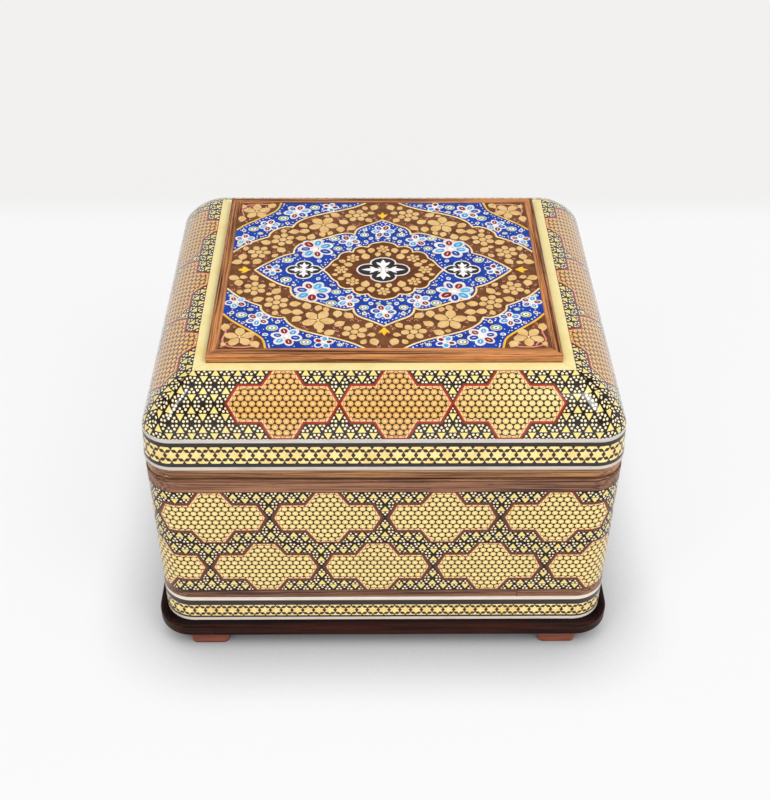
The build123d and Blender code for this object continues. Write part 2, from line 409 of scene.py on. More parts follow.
    def surface(self, **sockets: Union[Number, Colour, Socket]) -> bpy.types.Material:
        """Closes the material with one shader of the given values."""
        return self.close("ShaderNodeOutputMaterial", self.shader("ShaderNodeBsdfPrincipled", **sockets))


def placed(name: str, sheet: bmesh.types.BMesh, material: bpy.types.Material) -> bpy.types.Object:
    """Turns a mesh under construction into an object in the scene.

    Args:
        name: The object's name.
        sheet: The mesh, which is freed.
        material: What it wears.

    Returns:
        The object.
    """
    mesh = bpy.data.meshes.new(name)
    sheet.to_mesh(mesh)
    sheet.free()
    mesh.materials.append(material)
    thing = bpy.data.objects.new(name, mesh)
    bpy.context.scene.collection.objects.link(thing)
    return thing


class Side(Enum):
    """One of the four sides, as the turn from the front to it, in quarters."""

    FRONT = 0
    RIGHT = 1
    BACK = 2
    LEFT = 3

    @property
    def word(self) -> str:
        """The side's name, as the nodes use it."""
        return self.name.lower()

    @property
    def across_x(self) -> bool:
        """Whether the side runs along X."""
        return self in (Side.FRONT, Side.BACK)

    def axes(self, x: Signal, y: Signal) -> tuple[Signal, Signal]:
        """How far a point lies along this side and out from the box's middle.

        Args:
            x: The point's X.
            y: The point's Y.

        Returns:
            Along, growing to the right as one faces the side, and out.
        """
        return {
            Side.FRONT: (x, y * -1.0),
            Side.RIGHT: (y, x),
            Side.BACK: (x * -1.0, y),
            Side.LEFT: (y * -1.0, x * -1.0),
        }[self]


class Lattice:
    """A lattice of equal triangles, as each point's shares of its triangle's three corners."""

    def __init__(self, along: Signal, up: Signal, pitch: float, row: float) -> None:
        """Lays the lattice.

        Args:
            along: Distance along the rows, in millimetres.
            up: Distance across the rows, in millimetres.
            pitch: The space between corners in a row.
            row: The space between rows.
        """
        self.pitch, self.row = pitch, row
        self.rise, self.run = up / row, along / pitch
        first, second = (self.run - self.rise * 0.5).fraction(), self.rise.fraction()
        turned = (first + second).above(1.0)
        self.first, self.second = abs(first - turned), abs(second - turned)
        self.third = 1.0 - (self.first + self.second)
        self.greatest = self.first.most(self.second).most(self.third)
        self.smallest = self.first.least(self.second).least(self.third)

    def corner_distance(self) -> Signal:
        """Measures the way to the nearest corner.

        Returns:
            The distance, in pitches.
        """
        rest = 1.0 - self.greatest
        product = self.first * self.second * self.third / self.greatest
        return (rest * rest - product).turned("SQRT")

    def from_corner(self) -> tuple[Signal, Signal]:
        """Measures the way from the nearest corner.

        Returns:
            The distance in millimetres, and the direction in sixths of a turn.
        """
        graph, half = self.run.graph, self.rise * 0.5
        even, odd = (
            (
                ((self.run + shift).fraction() - 0.5) * self.pitch,
                ((half + shift).fraction() - 0.5) * (2 * self.row),
            )
            for shift in (0.5, 0.0)
        )
        even_square, odd_square = (x * x + y * y for x, y in (even, odd))
        nearer = even_square.above(odd_square)
        x, y = (graph.pick(nearer, low, high) for low, high in zip(even, odd))
        return even_square.least(odd_square).turned("SQRT"), y.turned("ARCTAN2", x) / (math.pi / 3)


@dataclass(frozen=True)
class Wood:
    """A lacquered wood whose streaks run along each strip and turn at the mitres.

    Attributes:
        name: The material's name.
        pale: The lighter streaks.
        dark: The darker streaks.
        pore: The short dark pores.
        mitre: How much further the piece reaches along X than along Y, in millimetres.
        roughness: How rough the wood is under its lacquer.
        lacquer: How much lacquer shows.
        gloss: How strongly the wood itself shines.
        streak: How many streaks cross a millimetre.
        joints: Places along X where two lengths of the strip meet.
        painted_seam_shade: A height where the wood is painted darker, as painted shade next to a neighbouring
            part, and how far it reaches, in millimetres.
    """

    name: str
    pale: Colour
    dark: Colour
    pore: Colour
    mitre: float = 7.1
    roughness: float = 0.42
    lacquer: float = 0.16
    gloss: float = 0.2
    streak: float = 0.9
    joints: tuple[float, ...] = ()
    painted_seam_shade: tuple[float, float] = (-1.0, 0.1)

    # How often the grain's parts repeat in a millimetre: the streaks along it, the bands and pores both ways.
    STREAKS = 0.035
    BANDS = (0.012, 0.35)
    PORES = (0.22, 5.5)
    # How far the grain is moved along itself where a strip turns, and past a joint.
    TURN_SHIFT = 37.0
    JOINT_SHIFT = 23.0

    def dress(self) -> bpy.types.Material:
        """Makes the material.

        Returns:
            The material.
        """
        graph = Graph.material(self.name)
        x, y, z = graph.millimetres()
        turned = (abs(x) - abs(y)).above(self.mitre)
        along, across = graph.pick(turned, x, y), graph.pick(turned, y, x)
        shift = turned * self.TURN_SHIFT
        for joint in self.joints:
            shift = shift + x.above(joint) * self.JOINT_SHIFT
        fibre, bands, pores = (
            graph.point(along * slow + shift, across * fast, z * fast)
            for slow, fast in ((self.STREAKS, self.streak), self.BANDS, self.PORES)
        )
        streaks = graph.noise(fibre, 1.0, 5.0, 0.62)
        bands, pores = graph.noise(bands, 1.0), graph.noise(pores, 1.0)
        share = (streaks * 0.8 + bands * 0.4).between(0.48, 0.71)
        colour = graph.blend(share, self.dark, self.pale)
        colour = graph.blend(pores.between(0.40, 0.30) * 0.8, colour, self.pore)
        # Painted shade: the colour runs to the pore colour near the given height, where the piece meets a
        # neighbouring part.
        colour = graph.blend(abs(z - self.painted_seam_shade[0]).between(self.painted_seam_shade[1], 0.0), colour, self.pore)
        for joint in self.joints:
            colour = graph.blend(abs(x - joint).below(0.12) * 0.8, colour, self.pore)
        return graph.surface(
            Base_Color=colour,
            Roughness=streaks * 0.16 + (self.roughness - 0.08),
            Normal=graph.bump(pores.between(0.25, 0.45), 0.00004, 0.5),
            Specular_IOR_Level=self.gloss,
            Coat_Weight=self.lacquer,
            Coat_Roughness=0.1,
        )


@dataclass(frozen=True)
class InlayLine:
    """A thin inlaid line of bone or ebony.

    Attributes:
        name: The material's name.
        main: The line's colour.
        stain: The colour of its stains.
        fleck: The colour of the small flecks.
        mitre: How much further it reaches along X than along Y where its mitres show, or 0.
    """

    name: str
    main: Colour
    stain: Colour
    fleck: Colour
    mitre: float = 0.0

    def dress(self) -> bpy.types.Material:
        """Makes the material.

        Returns:
            The material.
        """
        graph = Graph.material(self.name)
        x, y, z = graph.millimetres()
        stains = graph.noise(graph.point(x * 0.12, y * 0.12, z * 0.9), 1.0, 4.0, 0.6)
        flecks = graph.noise(graph.point(x, y, z * 2.0), 1.6, 2.0)
        colour = graph.blend(stains.between(0.42, 0.72), self.main, self.stain)
        colour = graph.blend(flecks.between(0.66, 0.74) * 0.5, colour, self.fleck)
        if self.mitre:
            seam = abs(abs(x) - abs(y) - self.mitre).between(0.16, 0.06)
            colour = graph.blend(seam * 0.7, colour, self.fleck)
        return graph.surface(
            Base_Color=colour,
            Roughness=stains * 0.2 + 0.25,
            Normal=graph.bump(flecks, 0.00003, 0.4),
            Specular_IOR_Level=0.3,
            Coat_Weight=0.3,
            Coat_Roughness=0.1,
        )


@dataclass(frozen=True)
class StarBand:
    """A row of pale six-pointed stars with dark lozenges between them.

    Attributes:
        name: The material's name.
        half_x: Half the ring's length along X, in millimetres.
        half_y: Half its length along Y.
        corner: The radius of its corners.
        middle: The height of the middle row of stars.
        repeats: How many stars go round the box, an even number.
        star: The stars' colour.
        warm: The deeper tint that some stars have.
        lozenge: The colour between the stars.
    """

    name: str
    half_x: float
    half_y: float
    corner: float
    middle: float
    repeats: int
    star: Colour
    warm: Colour
    lozenge: Colour

    def dress(self) -> bpy.types.Material:
        """Makes the material.

        Returns:
            The material.
        """
        graph = Graph.material(self.name)
        x, y, z = graph.millimetres()
        flat_x, flat_y = self.half_x - self.corner, self.half_y - self.corner
        quarter = flat_x + flat_y + self.corner * math.pi / 2
        reach_x, reach_y = abs(x), abs(y)
        sideways = (reach_x - reach_y).above(flat_x - flat_y)
        round_x, round_y = (reach_x - flat_x).most(0.0), (reach_y - flat_y).most(0.0001)
        turn = round_x.turned("ARCTAN2", round_y)
        front = reach_x.least(flat_x) + turn * self.corner
        side = quarter - (reach_y.least(flat_y) + (math.pi / 2 - turn) * self.corner)
        run = graph.pick(sideways, front, side)
        pitch = 4 * quarter / self.repeats
        stars = Lattice(run, z - self.middle, pitch, pitch * math.sqrt(3) / 2)
        shares = 1.0 - (stars.greatest + stars.smallest)
        gap = shares.between(0.298, 0.326)
        cloud = graph.noise(graph.point(x * 0.3, y * 0.3, z * 0.3), 1.0, 2.0)
        pale = graph.blend(cloud.between(0.35, 0.7), self.star, self.warm)
        colour = graph.blend(gap, pale, self.lozenge)
        return graph.surface(
            Base_Color=colour,
            Roughness=gap * 0.1 + 0.28,
            Normal=graph.bump(gap, 0.00002, 0.35),
            Specular_IOR_Level=0.3,
            Coat_Weight=0.45,
            Coat_Roughness=0.08,
        )


@dataclass(frozen=True)
class CartoucheInlay:
    """Long cartouches filled with packed beads, on a dark ground of triangles and dots.

    Attributes:
        pitch: The space between the cartouches' middles, in millimetres.
        half_height: Half a cartouche's height.
        outline: The outline's width.
        ground_pitch: The space between the dark centres of the ground in a row.
        ground_row: The space between rows of them.
        bead_row: The space between rows of beads.
        bead: The beads' colour.
        lamp_lit_bead: Their colour where painted light from the right lamp makes them paler.
        bead_heart: The beads' middle dots.
        bead_gap: The colour between beads.
        scallop: The beads along the outline.
        bright: The outline's inner part, where it has kept its red.
        dull: The same part where it hasn't.
        deep: The outline's outer part.
        ground: The ground's colour.
        dot: The small dots on the ground.
        spark: The triangles on the ground.
        bead_pitch: The space between beads in a row.
        turnover: Where the outline changes colour, from -0.5 inside to 0.5 outside.
        parting: Half the gap between the tips of neighbours.
        lacquer: How much lacquer shows.
    """

    pitch: float
    half_height: float
    outline: float
    ground_pitch: float
    ground_row: float
    bead_row: float
    bead: Colour
    lamp_lit_bead: Colour
    bead_heart: Colour
    bead_gap: Colour
    scallop: Colour
    bright: Colour
    dull: Colour
    deep: Colour
    ground: Colour
    dot: Colour
    spark: Colour
    bead_pitch: float = 2.02
    turnover: float = 0.0
    parting: float = 0.0
    lacquer: float = 0.3

    # The shoulder, neck and crown as shares of half the pitch, and the ledge of half the height.
    WIDTHS = (0.80, 0.38, 0.20)
    LEDGE = 0.53
    # Each ring of dots: its radius, its dots in a sixth of a turn and a dot's radius, in millimetres.
    DOT_RINGS = ((1.24, 1, 0.32), (2.14, 2, 0.345))
    DOT_WOBBLE = 0.09
    SOFT = 0.06
    # The scallops along the outline: their width, reach, bend and slant.
    LOBES = (1.7, 0.66, 2.6, 0.6)

    def edge(self, along: Signal, up: Signal) -> Signal:
        """The distance outside a cartouche's edge, with its inside below 0.

        Args:
            along: Distance from the cartouche's middle along the side, without its sign.
            up: Distance from its middle up the side, without its sign.

        Returns:
            The distance in millimetres.
        """
        half = self.pitch / 2
        shoulder, neck, crown = (share * half for share in self.WIDTHS)
        ledge = self.LEDGE * self.half_height
        tip = self.slant(along, up, (half - self.parting, 0.0), (shoulder, ledge))
        body = tip.most(up - ledge)
        rise = self.slant(along, up, (neck, ledge), (crown, self.half_height))
        return body.least(rise.most(up - self.half_height))

    def slant(self, along: Signal, up: Signal, low: tuple[float, float], high: tuple[float, float]) -> Signal:
        """The distance outside a slanting line that rises from low to high.

        Args:
            along: Distance from the cartouche's middle along the side.
            up: Distance from its middle up the side.
            low: The line's lower end.
            high: Its upper end.

        Returns:
            The distance in millimetres.
        """
        run, rise = low[0] - high[0], high[1] - low[1]
        length = math.hypot(run, rise)
        return (along - low[0]) * (rise / length) + (up - low[1]) * (run / length)

    def ground_colour(self, graph: Graph, across: Signal, up: Signal) -> Signal:
        """The dark ground, with triangles between rosettes of six and twelve dots.

        Args:
            graph: The material under construction.
            across: Distance along the side, in millimetres.
            up: Distance up the side.

        Returns:
            The colour.
        """
        wide = Lattice(across + self.ground_pitch / 2, up, self.ground_pitch, self.ground_row)
        away, turn = wide.from_corner()
        uneven = (graph.noise(graph.point(across, up, 0.0), 1.1) - 0.5) * self.DOT_WOBBLE
        colour = self.ground
        for ring, parts, size in self.DOT_RINGS:
            swing = ((turn * float(parts)).fraction() - 0.5) * (math.pi / 3 / parts)
            square = away * away + ring * ring - away * swing.turned("COSINE") * (2 * ring)
            near = square.most(0.0).turned("SQRT") + uneven
            colour = graph.blend(near.between(size + self.SOFT, size - self.SOFT), colour, self.dot)
        sides = wide.first.most(wide.third).between(0.450, 0.434)
        return graph.blend(sides * wide.second.between(0.496, 0.480), colour, self.spark)

    def bead_colour(self, graph: Graph, along: Signal, up: Signal, right_light: Number) -> Signal:
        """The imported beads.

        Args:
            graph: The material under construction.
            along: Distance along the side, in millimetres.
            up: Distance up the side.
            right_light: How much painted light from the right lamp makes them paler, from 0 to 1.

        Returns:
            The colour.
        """
        packed = Lattice(along, up, self.bead_pitch, self.bead_row)
        away = packed.corner_distance()
        bead_in_light = graph.blend(right_light, self.bead, self.lamp_lit_bead)
        colour = graph.blend(away.between(0.22, 0.10) * 0.6, bead_in_light, self.bead_heart)
        ring = away.between(0.18, 0.23) * away.between(0.33, 0.27) * 0.3
        colour = graph.blend(ring, colour, self.bead_gap)
        colour = graph.blend(away.between(0.37, 0.47) * 0.7, colour, self.bead_gap)
        threes = away.between(0.37, 0.43) * packed.smallest.between(0.02, 0.08)
        return graph.blend(threes, colour, self.bead_gap)

    def colour(self, graph: Graph, across: Signal, up: Signal, right_light: Number) -> tuple[Signal, Signal]:
        """The whole pattern.

        Args:
            graph: The material under construction.
            across: Distance along the side from the nearest cartouche's middle, in millimetres.
            up: Distance up from that middle.
            right_light: How much painted light from the right lamp makes the beads paler, from 0 to 1.

        Returns:
            The colour, and 1 on the outline.
        """
        reach, rise = abs(across), abs(up)
        outside = self.edge(reach, rise)
        inside = outside * -1.0
        half = self.outline / 2
        beads = self.bead_colour(graph, across, up, right_light)
        wide, deep, bend, slant = self.LOBES
        lobe = ((reach - rise * slant) / wide).fraction() - 0.5
        depth = deep + half - lobe * lobe * bend
        fringe = graph.blend((inside - depth).between(-0.10, 0.0), self.scallop, self.bead_gap)
        beads = graph.blend(inside.below(depth + 0.12), beads, fringe)
        colour = graph.blend(outside.above(0.0), beads, self.ground_colour(graph, across, up))
        worn = graph.noise(graph.point(across * 0.13, up * 0.13, 0.0), 1.0).between(0.48, 0.66)
        inner = graph.blend(worn, self.dull, self.bright)
        line = graph.blend(outside.above(self.outline * self.turnover), inner, self.deep)
        on_line = abs(outside).below(half)
        rim = abs(outside - 0.04).below(half + 0.08)
        colour = graph.blend(rim, colour, self.bead_gap)
        return graph.blend(on_line, colour, line), on_line

    def finish(self, graph: Graph, colour: Signal, raised: Signal, shade: Signal) -> bpy.types.Material:
        """Closes a material with the pattern under clear lacquer.

        Args:
            graph: The material under construction.
            colour: The pattern's colour.
            raised: 1 where the pattern stands a little proud.
            shade: A slow cloudiness from 0 to 1.

        Returns:
            The finished material.
        """
        aged = graph.scaled(colour, shade * 0.22 + 0.89)
        return graph.surface(
            Base_Color=aged,
            Roughness=shade * 0.1 + 0.24,
            Normal=graph.bump(raised + shade * 2.0, 0.00003, 0.3),
            Specular_IOR_Level=0.12,
            Coat_Weight=self.lacquer,
            Coat_Roughness=0.1,
        )


@dataclass(frozen=True)
class CaseSheets:
    """The mosaic round the case, in two rows that wrap round the corners.

    Attributes:
        inlay: The pattern.
        half_x: Half the case's length along X, in millimetres.
        half_y: Half its length along Y.
        corner: The radius of its corners.
        bottom: The mosaic's lower edge.
        stagger: How far the upper row stands from the lower one, in pitches.
        start: Where the lower row starts, in pitches.
    """

    inlay: CartoucheInlay
    half_x: float = 66.2
    half_y: float = 59.1
    corner: float = 9.2
    bottom: float = 22.95
    stagger: float = 0.433
    start: float = 0.060

    def dress(self, side: Side) -> bpy.types.Material:
        """Makes the material for one side.

        Args:
            side: The side.

        Returns:
            The material.
        """
        graph = Graph.material(f"case_mosaic_{side.word}")
        x, y, z = graph.millimetres()
        along, out = side.axes(x, y)
        flat_x, flat_y = self.half_x - self.corner, self.half_y - self.corner
        flat, depth = (flat_x, flat_y) if side.across_x else (flat_y, flat_x)
        reach = abs(along)
        turn = (reach - flat).most(0.0).turned("ARCTAN2", out - depth)
        run = (reach.least(flat) + turn * self.corner) * along.turned("SIGN")
        quarter = flat_x + flat_y + self.corner * math.pi / 2
        run = run + quarter * side.value
        row = 2 * self.inlay.half_height
        rise = (z - self.bottom) / row
        upper = rise.above(1.0)
        counted = run / self.inlay.pitch + upper * self.stagger + self.start
        across = ((counted + 0.5).fraction() - 0.5) * self.inlay.pitch
        up = (rise - upper - 0.5) * row
        colour, line = self.inlay.colour(graph, across, up, 0.0)
        cloud = graph.noise(graph.point(x * 0.08, y * 0.08, z * 0.08), 1.0, 3.0)
        return self.inlay.finish(graph, colour, line, cloud)


@dataclass(frozen=True)
class LidSheets:
    """The mosaic over the lid's rounded shoulder, with three cartouches a side.

    Attributes:
        inlay: The pattern.
        top_x: Half the flat top's length along X, in millimetres.
        top_y: Half its length along Y.
        run_x: How far the shoulder runs out at the sides.
        run_y: How far it runs out at the front and back.
        fall: How far it falls.
        roundness: The power of the shoulder's curve.
        corner: The radius of its corners at the bottom.
        fan: How fast that radius grows.
        top: The height of the flat top.
    """

    inlay: CartoucheInlay
    top_x: float = 51.5
    top_y: float = 45.1
    run_x: float = 14.1
    run_y: float = 13.4
    fall: float = 12.8
    roundness: float = 1.47
    corner: float = 8.2
    fan: float = 0.56
    top: float = 94.3

    def arc(self, run: float) -> tuple[float, list[tuple[float, float]]]:
        """Measures the shoulder's curve.

        Args:
            run: How far the shoulder runs out on this side.

        Returns:
            Its length, and points of length against progress, both from 0 to 1.
        """
        steps, power = 400, 2 / self.roundness
        places = [
            (run * math.sin(a) ** power, self.fall * (1 - max(math.cos(a), 0.0) ** power))
            for a in (math.pi / 2 * i / steps for i in range(steps + 1))
        ]
        lengths = [0.0]
        for last, this in zip(places, places[1:]):
            lengths.append(lengths[-1] + math.dist(last, this))
        total = lengths[-1]
        spread = [sum(p) / (run + self.fall) for p in places]
        kept = range(0, steps + 1, steps // 10)
        return total, [(spread[i], lengths[i] / total) for i in kept]

    def dress(self, side: Side, shift: float) -> bpy.types.Material:
        """Makes the material for one side.

        Args:
            side: The side.
            shift: How far the middle cartouche stands off the side's middle.

        Returns:
            The material.
        """
        graph = Graph.material(f"lid_mosaic_{side.word}")
        x, y, z = graph.millimetres()
        along, out = side.axes(x, y)
        fallen = ((self.top - z) / self.fall).most(0.0).least(1.0)
        spread = (1.0 - (1.0 - fallen).power(self.roundness)).power(1 / self.roundness)
        radius = spread.power(self.fan) * self.corner
        long_x = side.across_x
        ways = [spread * self.run_x + self.top_x - radius, spread * self.run_y + self.top_y - radius]
        flat, depth = ways if long_x else ways[::-1]
        reach = abs(along)
        turn = (reach - flat).most(0.0).turned("ARCTAN2", (out - depth).most(0.0001))
        run = (reach.least(flat) + turn * radius) * along.turned("SIGN")
        out_run = self.run_y if long_x else self.run_x
        total, points = self.arc(out_run)
        progress = (spread * out_run + fallen * self.fall) / (out_run + self.fall)
        down = graph.curve(progress, points) * total
        step = ((run - shift) / self.inlay.pitch).turned("ROUND").most(-1.0).least(1.0)
        across = run - shift - step * self.inlay.pitch
        up = (total / 2 - down) * (self.inlay.half_height / (total / 2))
        # Painted light: the front's beads grow paler towards the right, standing in for the right lamp's
        # light.
        right_light = run.between(2.0, 60.0) if side is Side.FRONT else 0.0
        colour, line = self.inlay.colour(graph, across, up, right_light)
        cloud = graph.noise(graph.point(x * 0.08, y * 0.08, z * 0.08), 1.0, 3.0)
        return self.inlay.finish(graph, colour, line, cloud)


@dataclass(frozen=True)
class Velvet:
    """A short plush with a soft sheen and a brushed nap.

    Attributes:
        name: The material's name.
        deep: The pile seen end on.
        light: The pile seen from its side.
    """

    name: str
    deep: Colour
    light: Colour

    def dress(self) -> bpy.types.Material:
        """Makes the material.

        Returns:
            The material.
        """
        graph = Graph.material(self.name)
        x, y, z = graph.millimetres()
        where = graph.point(x, y, z)
        nap = graph.noise(where, 0.07, 3.0, 0.6)
        pile = graph.noise(where, 3.5, 2.0)
        share = (nap * 0.7 + pile * 0.4).between(0.38, 0.75)
        return graph.surface(
            Base_Color=graph.blend(share, self.deep, self.light),
            Roughness=0.95,
            Normal=graph.bump(pile, 0.0002, 0.5),
            Sheen_Weight=0.7,
            Sheen_Roughness=0.4,
            Sheen_Tint=self.light,
        )


@dataclass(frozen=True)
class Metal:
    """A brushed metal.

    Attributes:
        name: The material's name.
        bright: The polished colour.
        dull: The colour where it has dulled.
    """

    name: str
    bright: Colour
    dull: Colour

    def dress(self) -> bpy.types.Material:
        """Makes the material.

        Returns:
            The material.
        """
        graph = Graph.material(self.name)
        x, y, z = graph.millimetres()
        brush = graph.noise(graph.point(x * 0.4, y * 8.0, z * 8.0), 1.0, 3.0)
        patches = graph.noise(graph.point(x, y, z), 0.25, 3.0)
        return graph.surface(
            Base_Color=graph.blend(patches.between(0.4, 0.7), self.bright, self.dull),
            Metallic=1.0,
            Roughness=brush * 0.2 + 0.2,
            Normal=graph.bump(brush, 0.00004, 0.4),
        )


@dataclass
class Photographer:
    """The camera, placed as the photograph's was.

    Attributes:
        place: Where it stands, in metres.
        down: How far it looks down, in radians.
        swing: How far it is turned to its right, in radians.
        roll: How far it leans, in radians.
        lens: Its focal length, in millimetres on a 36 mm sensor.
    """

    place: tuple[float, float, float] = (-0.003312, -0.304615, 0.296079)
    down: float = 0.68509
    swing: float = 0.01337
    roll: float = -0.00667
    lens: float = 55.237

    def build(self) -> None:
        """Makes the camera and gives it to the scene."""
        ahead = Vector(
            (
                math.sin(self.swing) * math.cos(self.down),
                math.cos(self.swing) * math.cos(self.down),
                -math.sin(self.down),
            )
        )
        right = Vector((math.cos(self.swing), -math.sin(self.swing), 0.0))
        below = ahead.cross(right)
        leant = math.cos(self.roll) * right + math.sin(self.roll) * below
        low = math.cos(self.roll) * below - math.sin(self.roll) * right
        turn = Matrix((leant, -low, -ahead)).transposed().to_4x4()
        data = bpy.data.cameras.new("camera")
        data.sensor_width, data.lens = 36.0, self.lens
        data.clip_start, data.clip_end = 0.01, 20.0
        camera = bpy.data.objects.new("camera", data)
        camera.matrix_world = Matrix.Translation(self.place) @ turn
        bpy.context.scene.collection.objects.link(camera)
        bpy.context.scene.camera = camera
        LOG.info("camera placed")


@dataclass(frozen=True)
class Lamp:
    """A soft lamp.

    Attributes:
        name: The lamp's name.
        place: Where it hangs, in metres.
        aim: Where it points.
        power: Its power, in watts.
        wide: Its width, in metres.
        tall: Its height.
    """

    name: str
    place: tuple[float, float, float]
    aim: tuple[float, float, float]
    power: float
    wide: float
    tall: float

    def hang(self) -> None:
        """Makes the lamp."""
        data = bpy.data.lights.new(self.name, "AREA")
        data.shape = "RECTANGLE"
        data.size, data.size_y, data.energy = self.wide, self.tall, self.power
        lamp = bpy.data.objects.new(self.name, data)
        lamp.location = self.place
        lamp.rotation_euler = (Vector(self.aim) - Vector(self.place)).to_track_quat("-Z", "Y").to_euler()
        bpy.context.scene.collection.objects.link(lamp)
        LOG.info("%s hung", self.name)


LAMPS = (
    Lamp("lamp_over", (0.0, -0.05, 0.9), (0.0, 0.0, 0.05), 2.0, 1.1, 1.1),
    Lamp("lamp_left", (-0.34, -0.40, 0.70), (-0.05, -0.05, 0.09), 1.8, 0.09, 0.50),
    Lamp("lamp_right", (0.37, -0.41, 0.77), (0.05, -0.05, 0.09), 3.5, 0.30, 0.30),
    Lamp("lamp_front", (0.0, -1.0, 0.30), (0.0, 0.0, 0.04), 1.4, 0.9, 0.9),
)


@dataclass
class Studio:
    """A pale floor and soft lamps.

    Attributes:
        floor_half: Half the floor's width, in metres.
        floor_light: The floor's colour under the lamps.
        floor_near: Its colour as it is seen, up to the backdrop.
        floor_far: The backdrop's.
        backdrop: How far back the one fades into the other, in millimetres.
        closeness: How far over the floor the object still darkens it, in metres.
        hug: How sharply that darkness ends.
        glow: How much of the seen colour shows near the object.
        far_glow: How much more of it shows further out.
        outskirts: The distances between which that grows, in millimetres.
        sky: The strength of the light from all round.
        paper: How bright the sky looks near the horizon.
        ceiling: How bright it looks overhead.
        horizon: The height at which the first starts to give way, and the rise to the second.
    """

    floor_half: float = 6.0
    floor_light: Colour = tone(240, 240, 240)
    floor_near: Colour = tone(250, 250, 251)
    floor_far: Colour = tone(243, 242, 241)
    backdrop: tuple[float, float] = (185.0, 215.0)
    closeness: float = 0.026
    hug: float = 1.3
    glow: float = 0.84
    far_glow: float = 0.12
    outskirts: tuple[float, float] = (110.0, 420.0)
    sky: float = 0.40
    paper: float = 0.90
    ceiling: float = 0.14
    horizon: tuple[float, float] = (0.15, 0.45)

    def build(self) -> None:
        """Makes the floor, the lamps and the light from all round."""
        bpy.context.scene.view_settings.view_transform = "Standard"
        self.floor()
        bpy.context.scene.world = self.world()
        for lamp in LAMPS:
            lamp.hang()
        LOG.info("studio built")

    def floor(self) -> None:
        """Makes the floor."""
        sheet = bmesh.new()
        bmesh.ops.create_grid(sheet, x_segments=1, y_segments=1, size=self.floor_half)
        placed("floor", sheet, self.floor_paper())

    def floor_paper(self) -> bpy.types.Material:
        """Makes paper that is darker near the object, by its shadow and by how closely it stands over it.

        Returns:
            The paper's material.
        """
        graph = Graph.material("floor_paper")
        x, y, _ = graph.millimetres()
        away = (x * x + y * y).turned("SQRT")
        open_sky = graph.nodes.new("ShaderNodeAmbientOcclusion")
        open_sky.samples = 8
        open_sky.inputs["Distance"].default_value = self.closeness
        look = graph.shader(
            "ShaderNodeEmission",
            Color=graph.blend(y.between(*self.backdrop), self.floor_near, self.floor_far),
            Strength=Signal(graph, open_sky.outputs["AO"]).power(self.hug),
        )
        share = away.between(*self.outskirts) * self.far_glow + self.glow
        paper = graph.shader("ShaderNodeBsdfDiffuse", Color=self.floor_light)
        return graph.close("ShaderNodeOutputMaterial", graph.seen_or(share, paper, look))

    def world(self) -> bpy.types.World:
        """Lights the scene from all round, and shows a pale backdrop near the horizon.

        Returns:
            The world.
        """
        graph = Graph(bpy.data.worlds.new("studio"))
        height = graph.apart(graph.where("Generated"))[2]
        fade = graph.pick((height - self.horizon[0]) / self.horizon[1], self.paper, self.ceiling)
        around, shown = (
            graph.shader("ShaderNodeBackground", Color=(1.0, 1.0, 1.0, 1.0), Strength=strength)
            for strength in (self.sky, fade)
        )
        return graph.close("ShaderNodeOutputWorld", graph.seen_or(1.0, around, shown))


BEAD_COLOURS = {
    # The paler bead colour is painted light from the right lamp.
    "lamp_lit_bead": tone(248, 234, 158),
    "bead_gap": tone(70, 42, 4),
    "ground": tone(22, 10, 4),
    "dot": tone(250, 230, 188),
    "spark": tone(236, 214, 128),
}


class Paint(Enum):
    """A paint of the picture: its colour, its deeper tint and its height above the plate, in millimetres."""

    BROWN = (tone(112, 62, 26), tone(90, 45, 18), 0.020)
    BLUE = (tone(14, 72, 176), tone(16, 42, 130), 0.022)
    GOLD = (tone(230, 194, 134), tone(214, 168, 102), 0.040)
    ROSE = (tone(228, 156, 136), tone(206, 116, 100), 0.045)
    CREAM = (tone(252, 226, 162), tone(246, 202, 122), 0.055)
    WHITE = (tone(238, 232, 226), tone(222, 206, 204), 0.050)
    BLACK = (tone(34, 30, 30), tone(52, 44, 42), 0.062)
    GREEN = (tone(150, 176, 84), tone(112, 150, 66), 0.060)
    RED = (tone(150, 34, 28), tone(118, 22, 20), 0.070)
    CYAN = (tone(40, 150, 206), tone(110, 192, 226), 0.072)
    PEARL = (tone(250, 248, 244), tone(232, 228, 230), 0.080)
    YELLOW = (tone(250, 204, 62), tone(236, 170, 40), 0.084)

    @property
    def height(self) -> float:
        """How high its top lies above the plate, in millimetres."""
        return self.value[2]


Place = tuple[float, float]
Spot = tuple[float, float, float, float]


@dataclass(frozen=True)
class Trail:
    """A smooth line through given places, sharp at some of them.

    Attributes:
        places: The places, in millimetres from the plate's middle.
        sharp: The numbers of the places where it turns sharply.
    """

    places: tuple[Place, ...]
    sharp: tuple[int, ...] = ()

    def walk(self, steps: int = 5) -> list[Place]:
        """The line as close places.

        Args:
            steps: Places between each two that are given.

        Returns:
            The places from end to end.
        """
        found: list[Place] = []
        last = len(self.places) - 1
        for index in range(last):
            a, b = self.places[index], self.places[index + 1]
            before = a if index == 0 or index in self.sharp else self.places[index - 1]
            after = b if index + 1 == last or index + 1 in self.sharp else self.places[index + 2]
            for step in range(steps):
                t = step / steps
                found.append(tuple(self.between(before[k], a[k], b[k], after[k], t) for k in (0, 1)))
        return [*found, self.places[-1]]

    @staticmethod
    def between(before: float, a: float, b: float, after: float, t: float) -> float:
        """One coordinate on the way from a to b."""
        bend = 2 * before - 5 * a + 4 * b - after
        return 0.5 * (2 * a + (b - before) * t + bend * t * t + (3 * a - before - 3 * b + after) * t**3)


def flipped(places: list[Place], x: int, y: int) -> list[Place]:
    """Places mirrored, each direction by 1 or -1."""
    return [(px * x, py * y) for px, py in places]


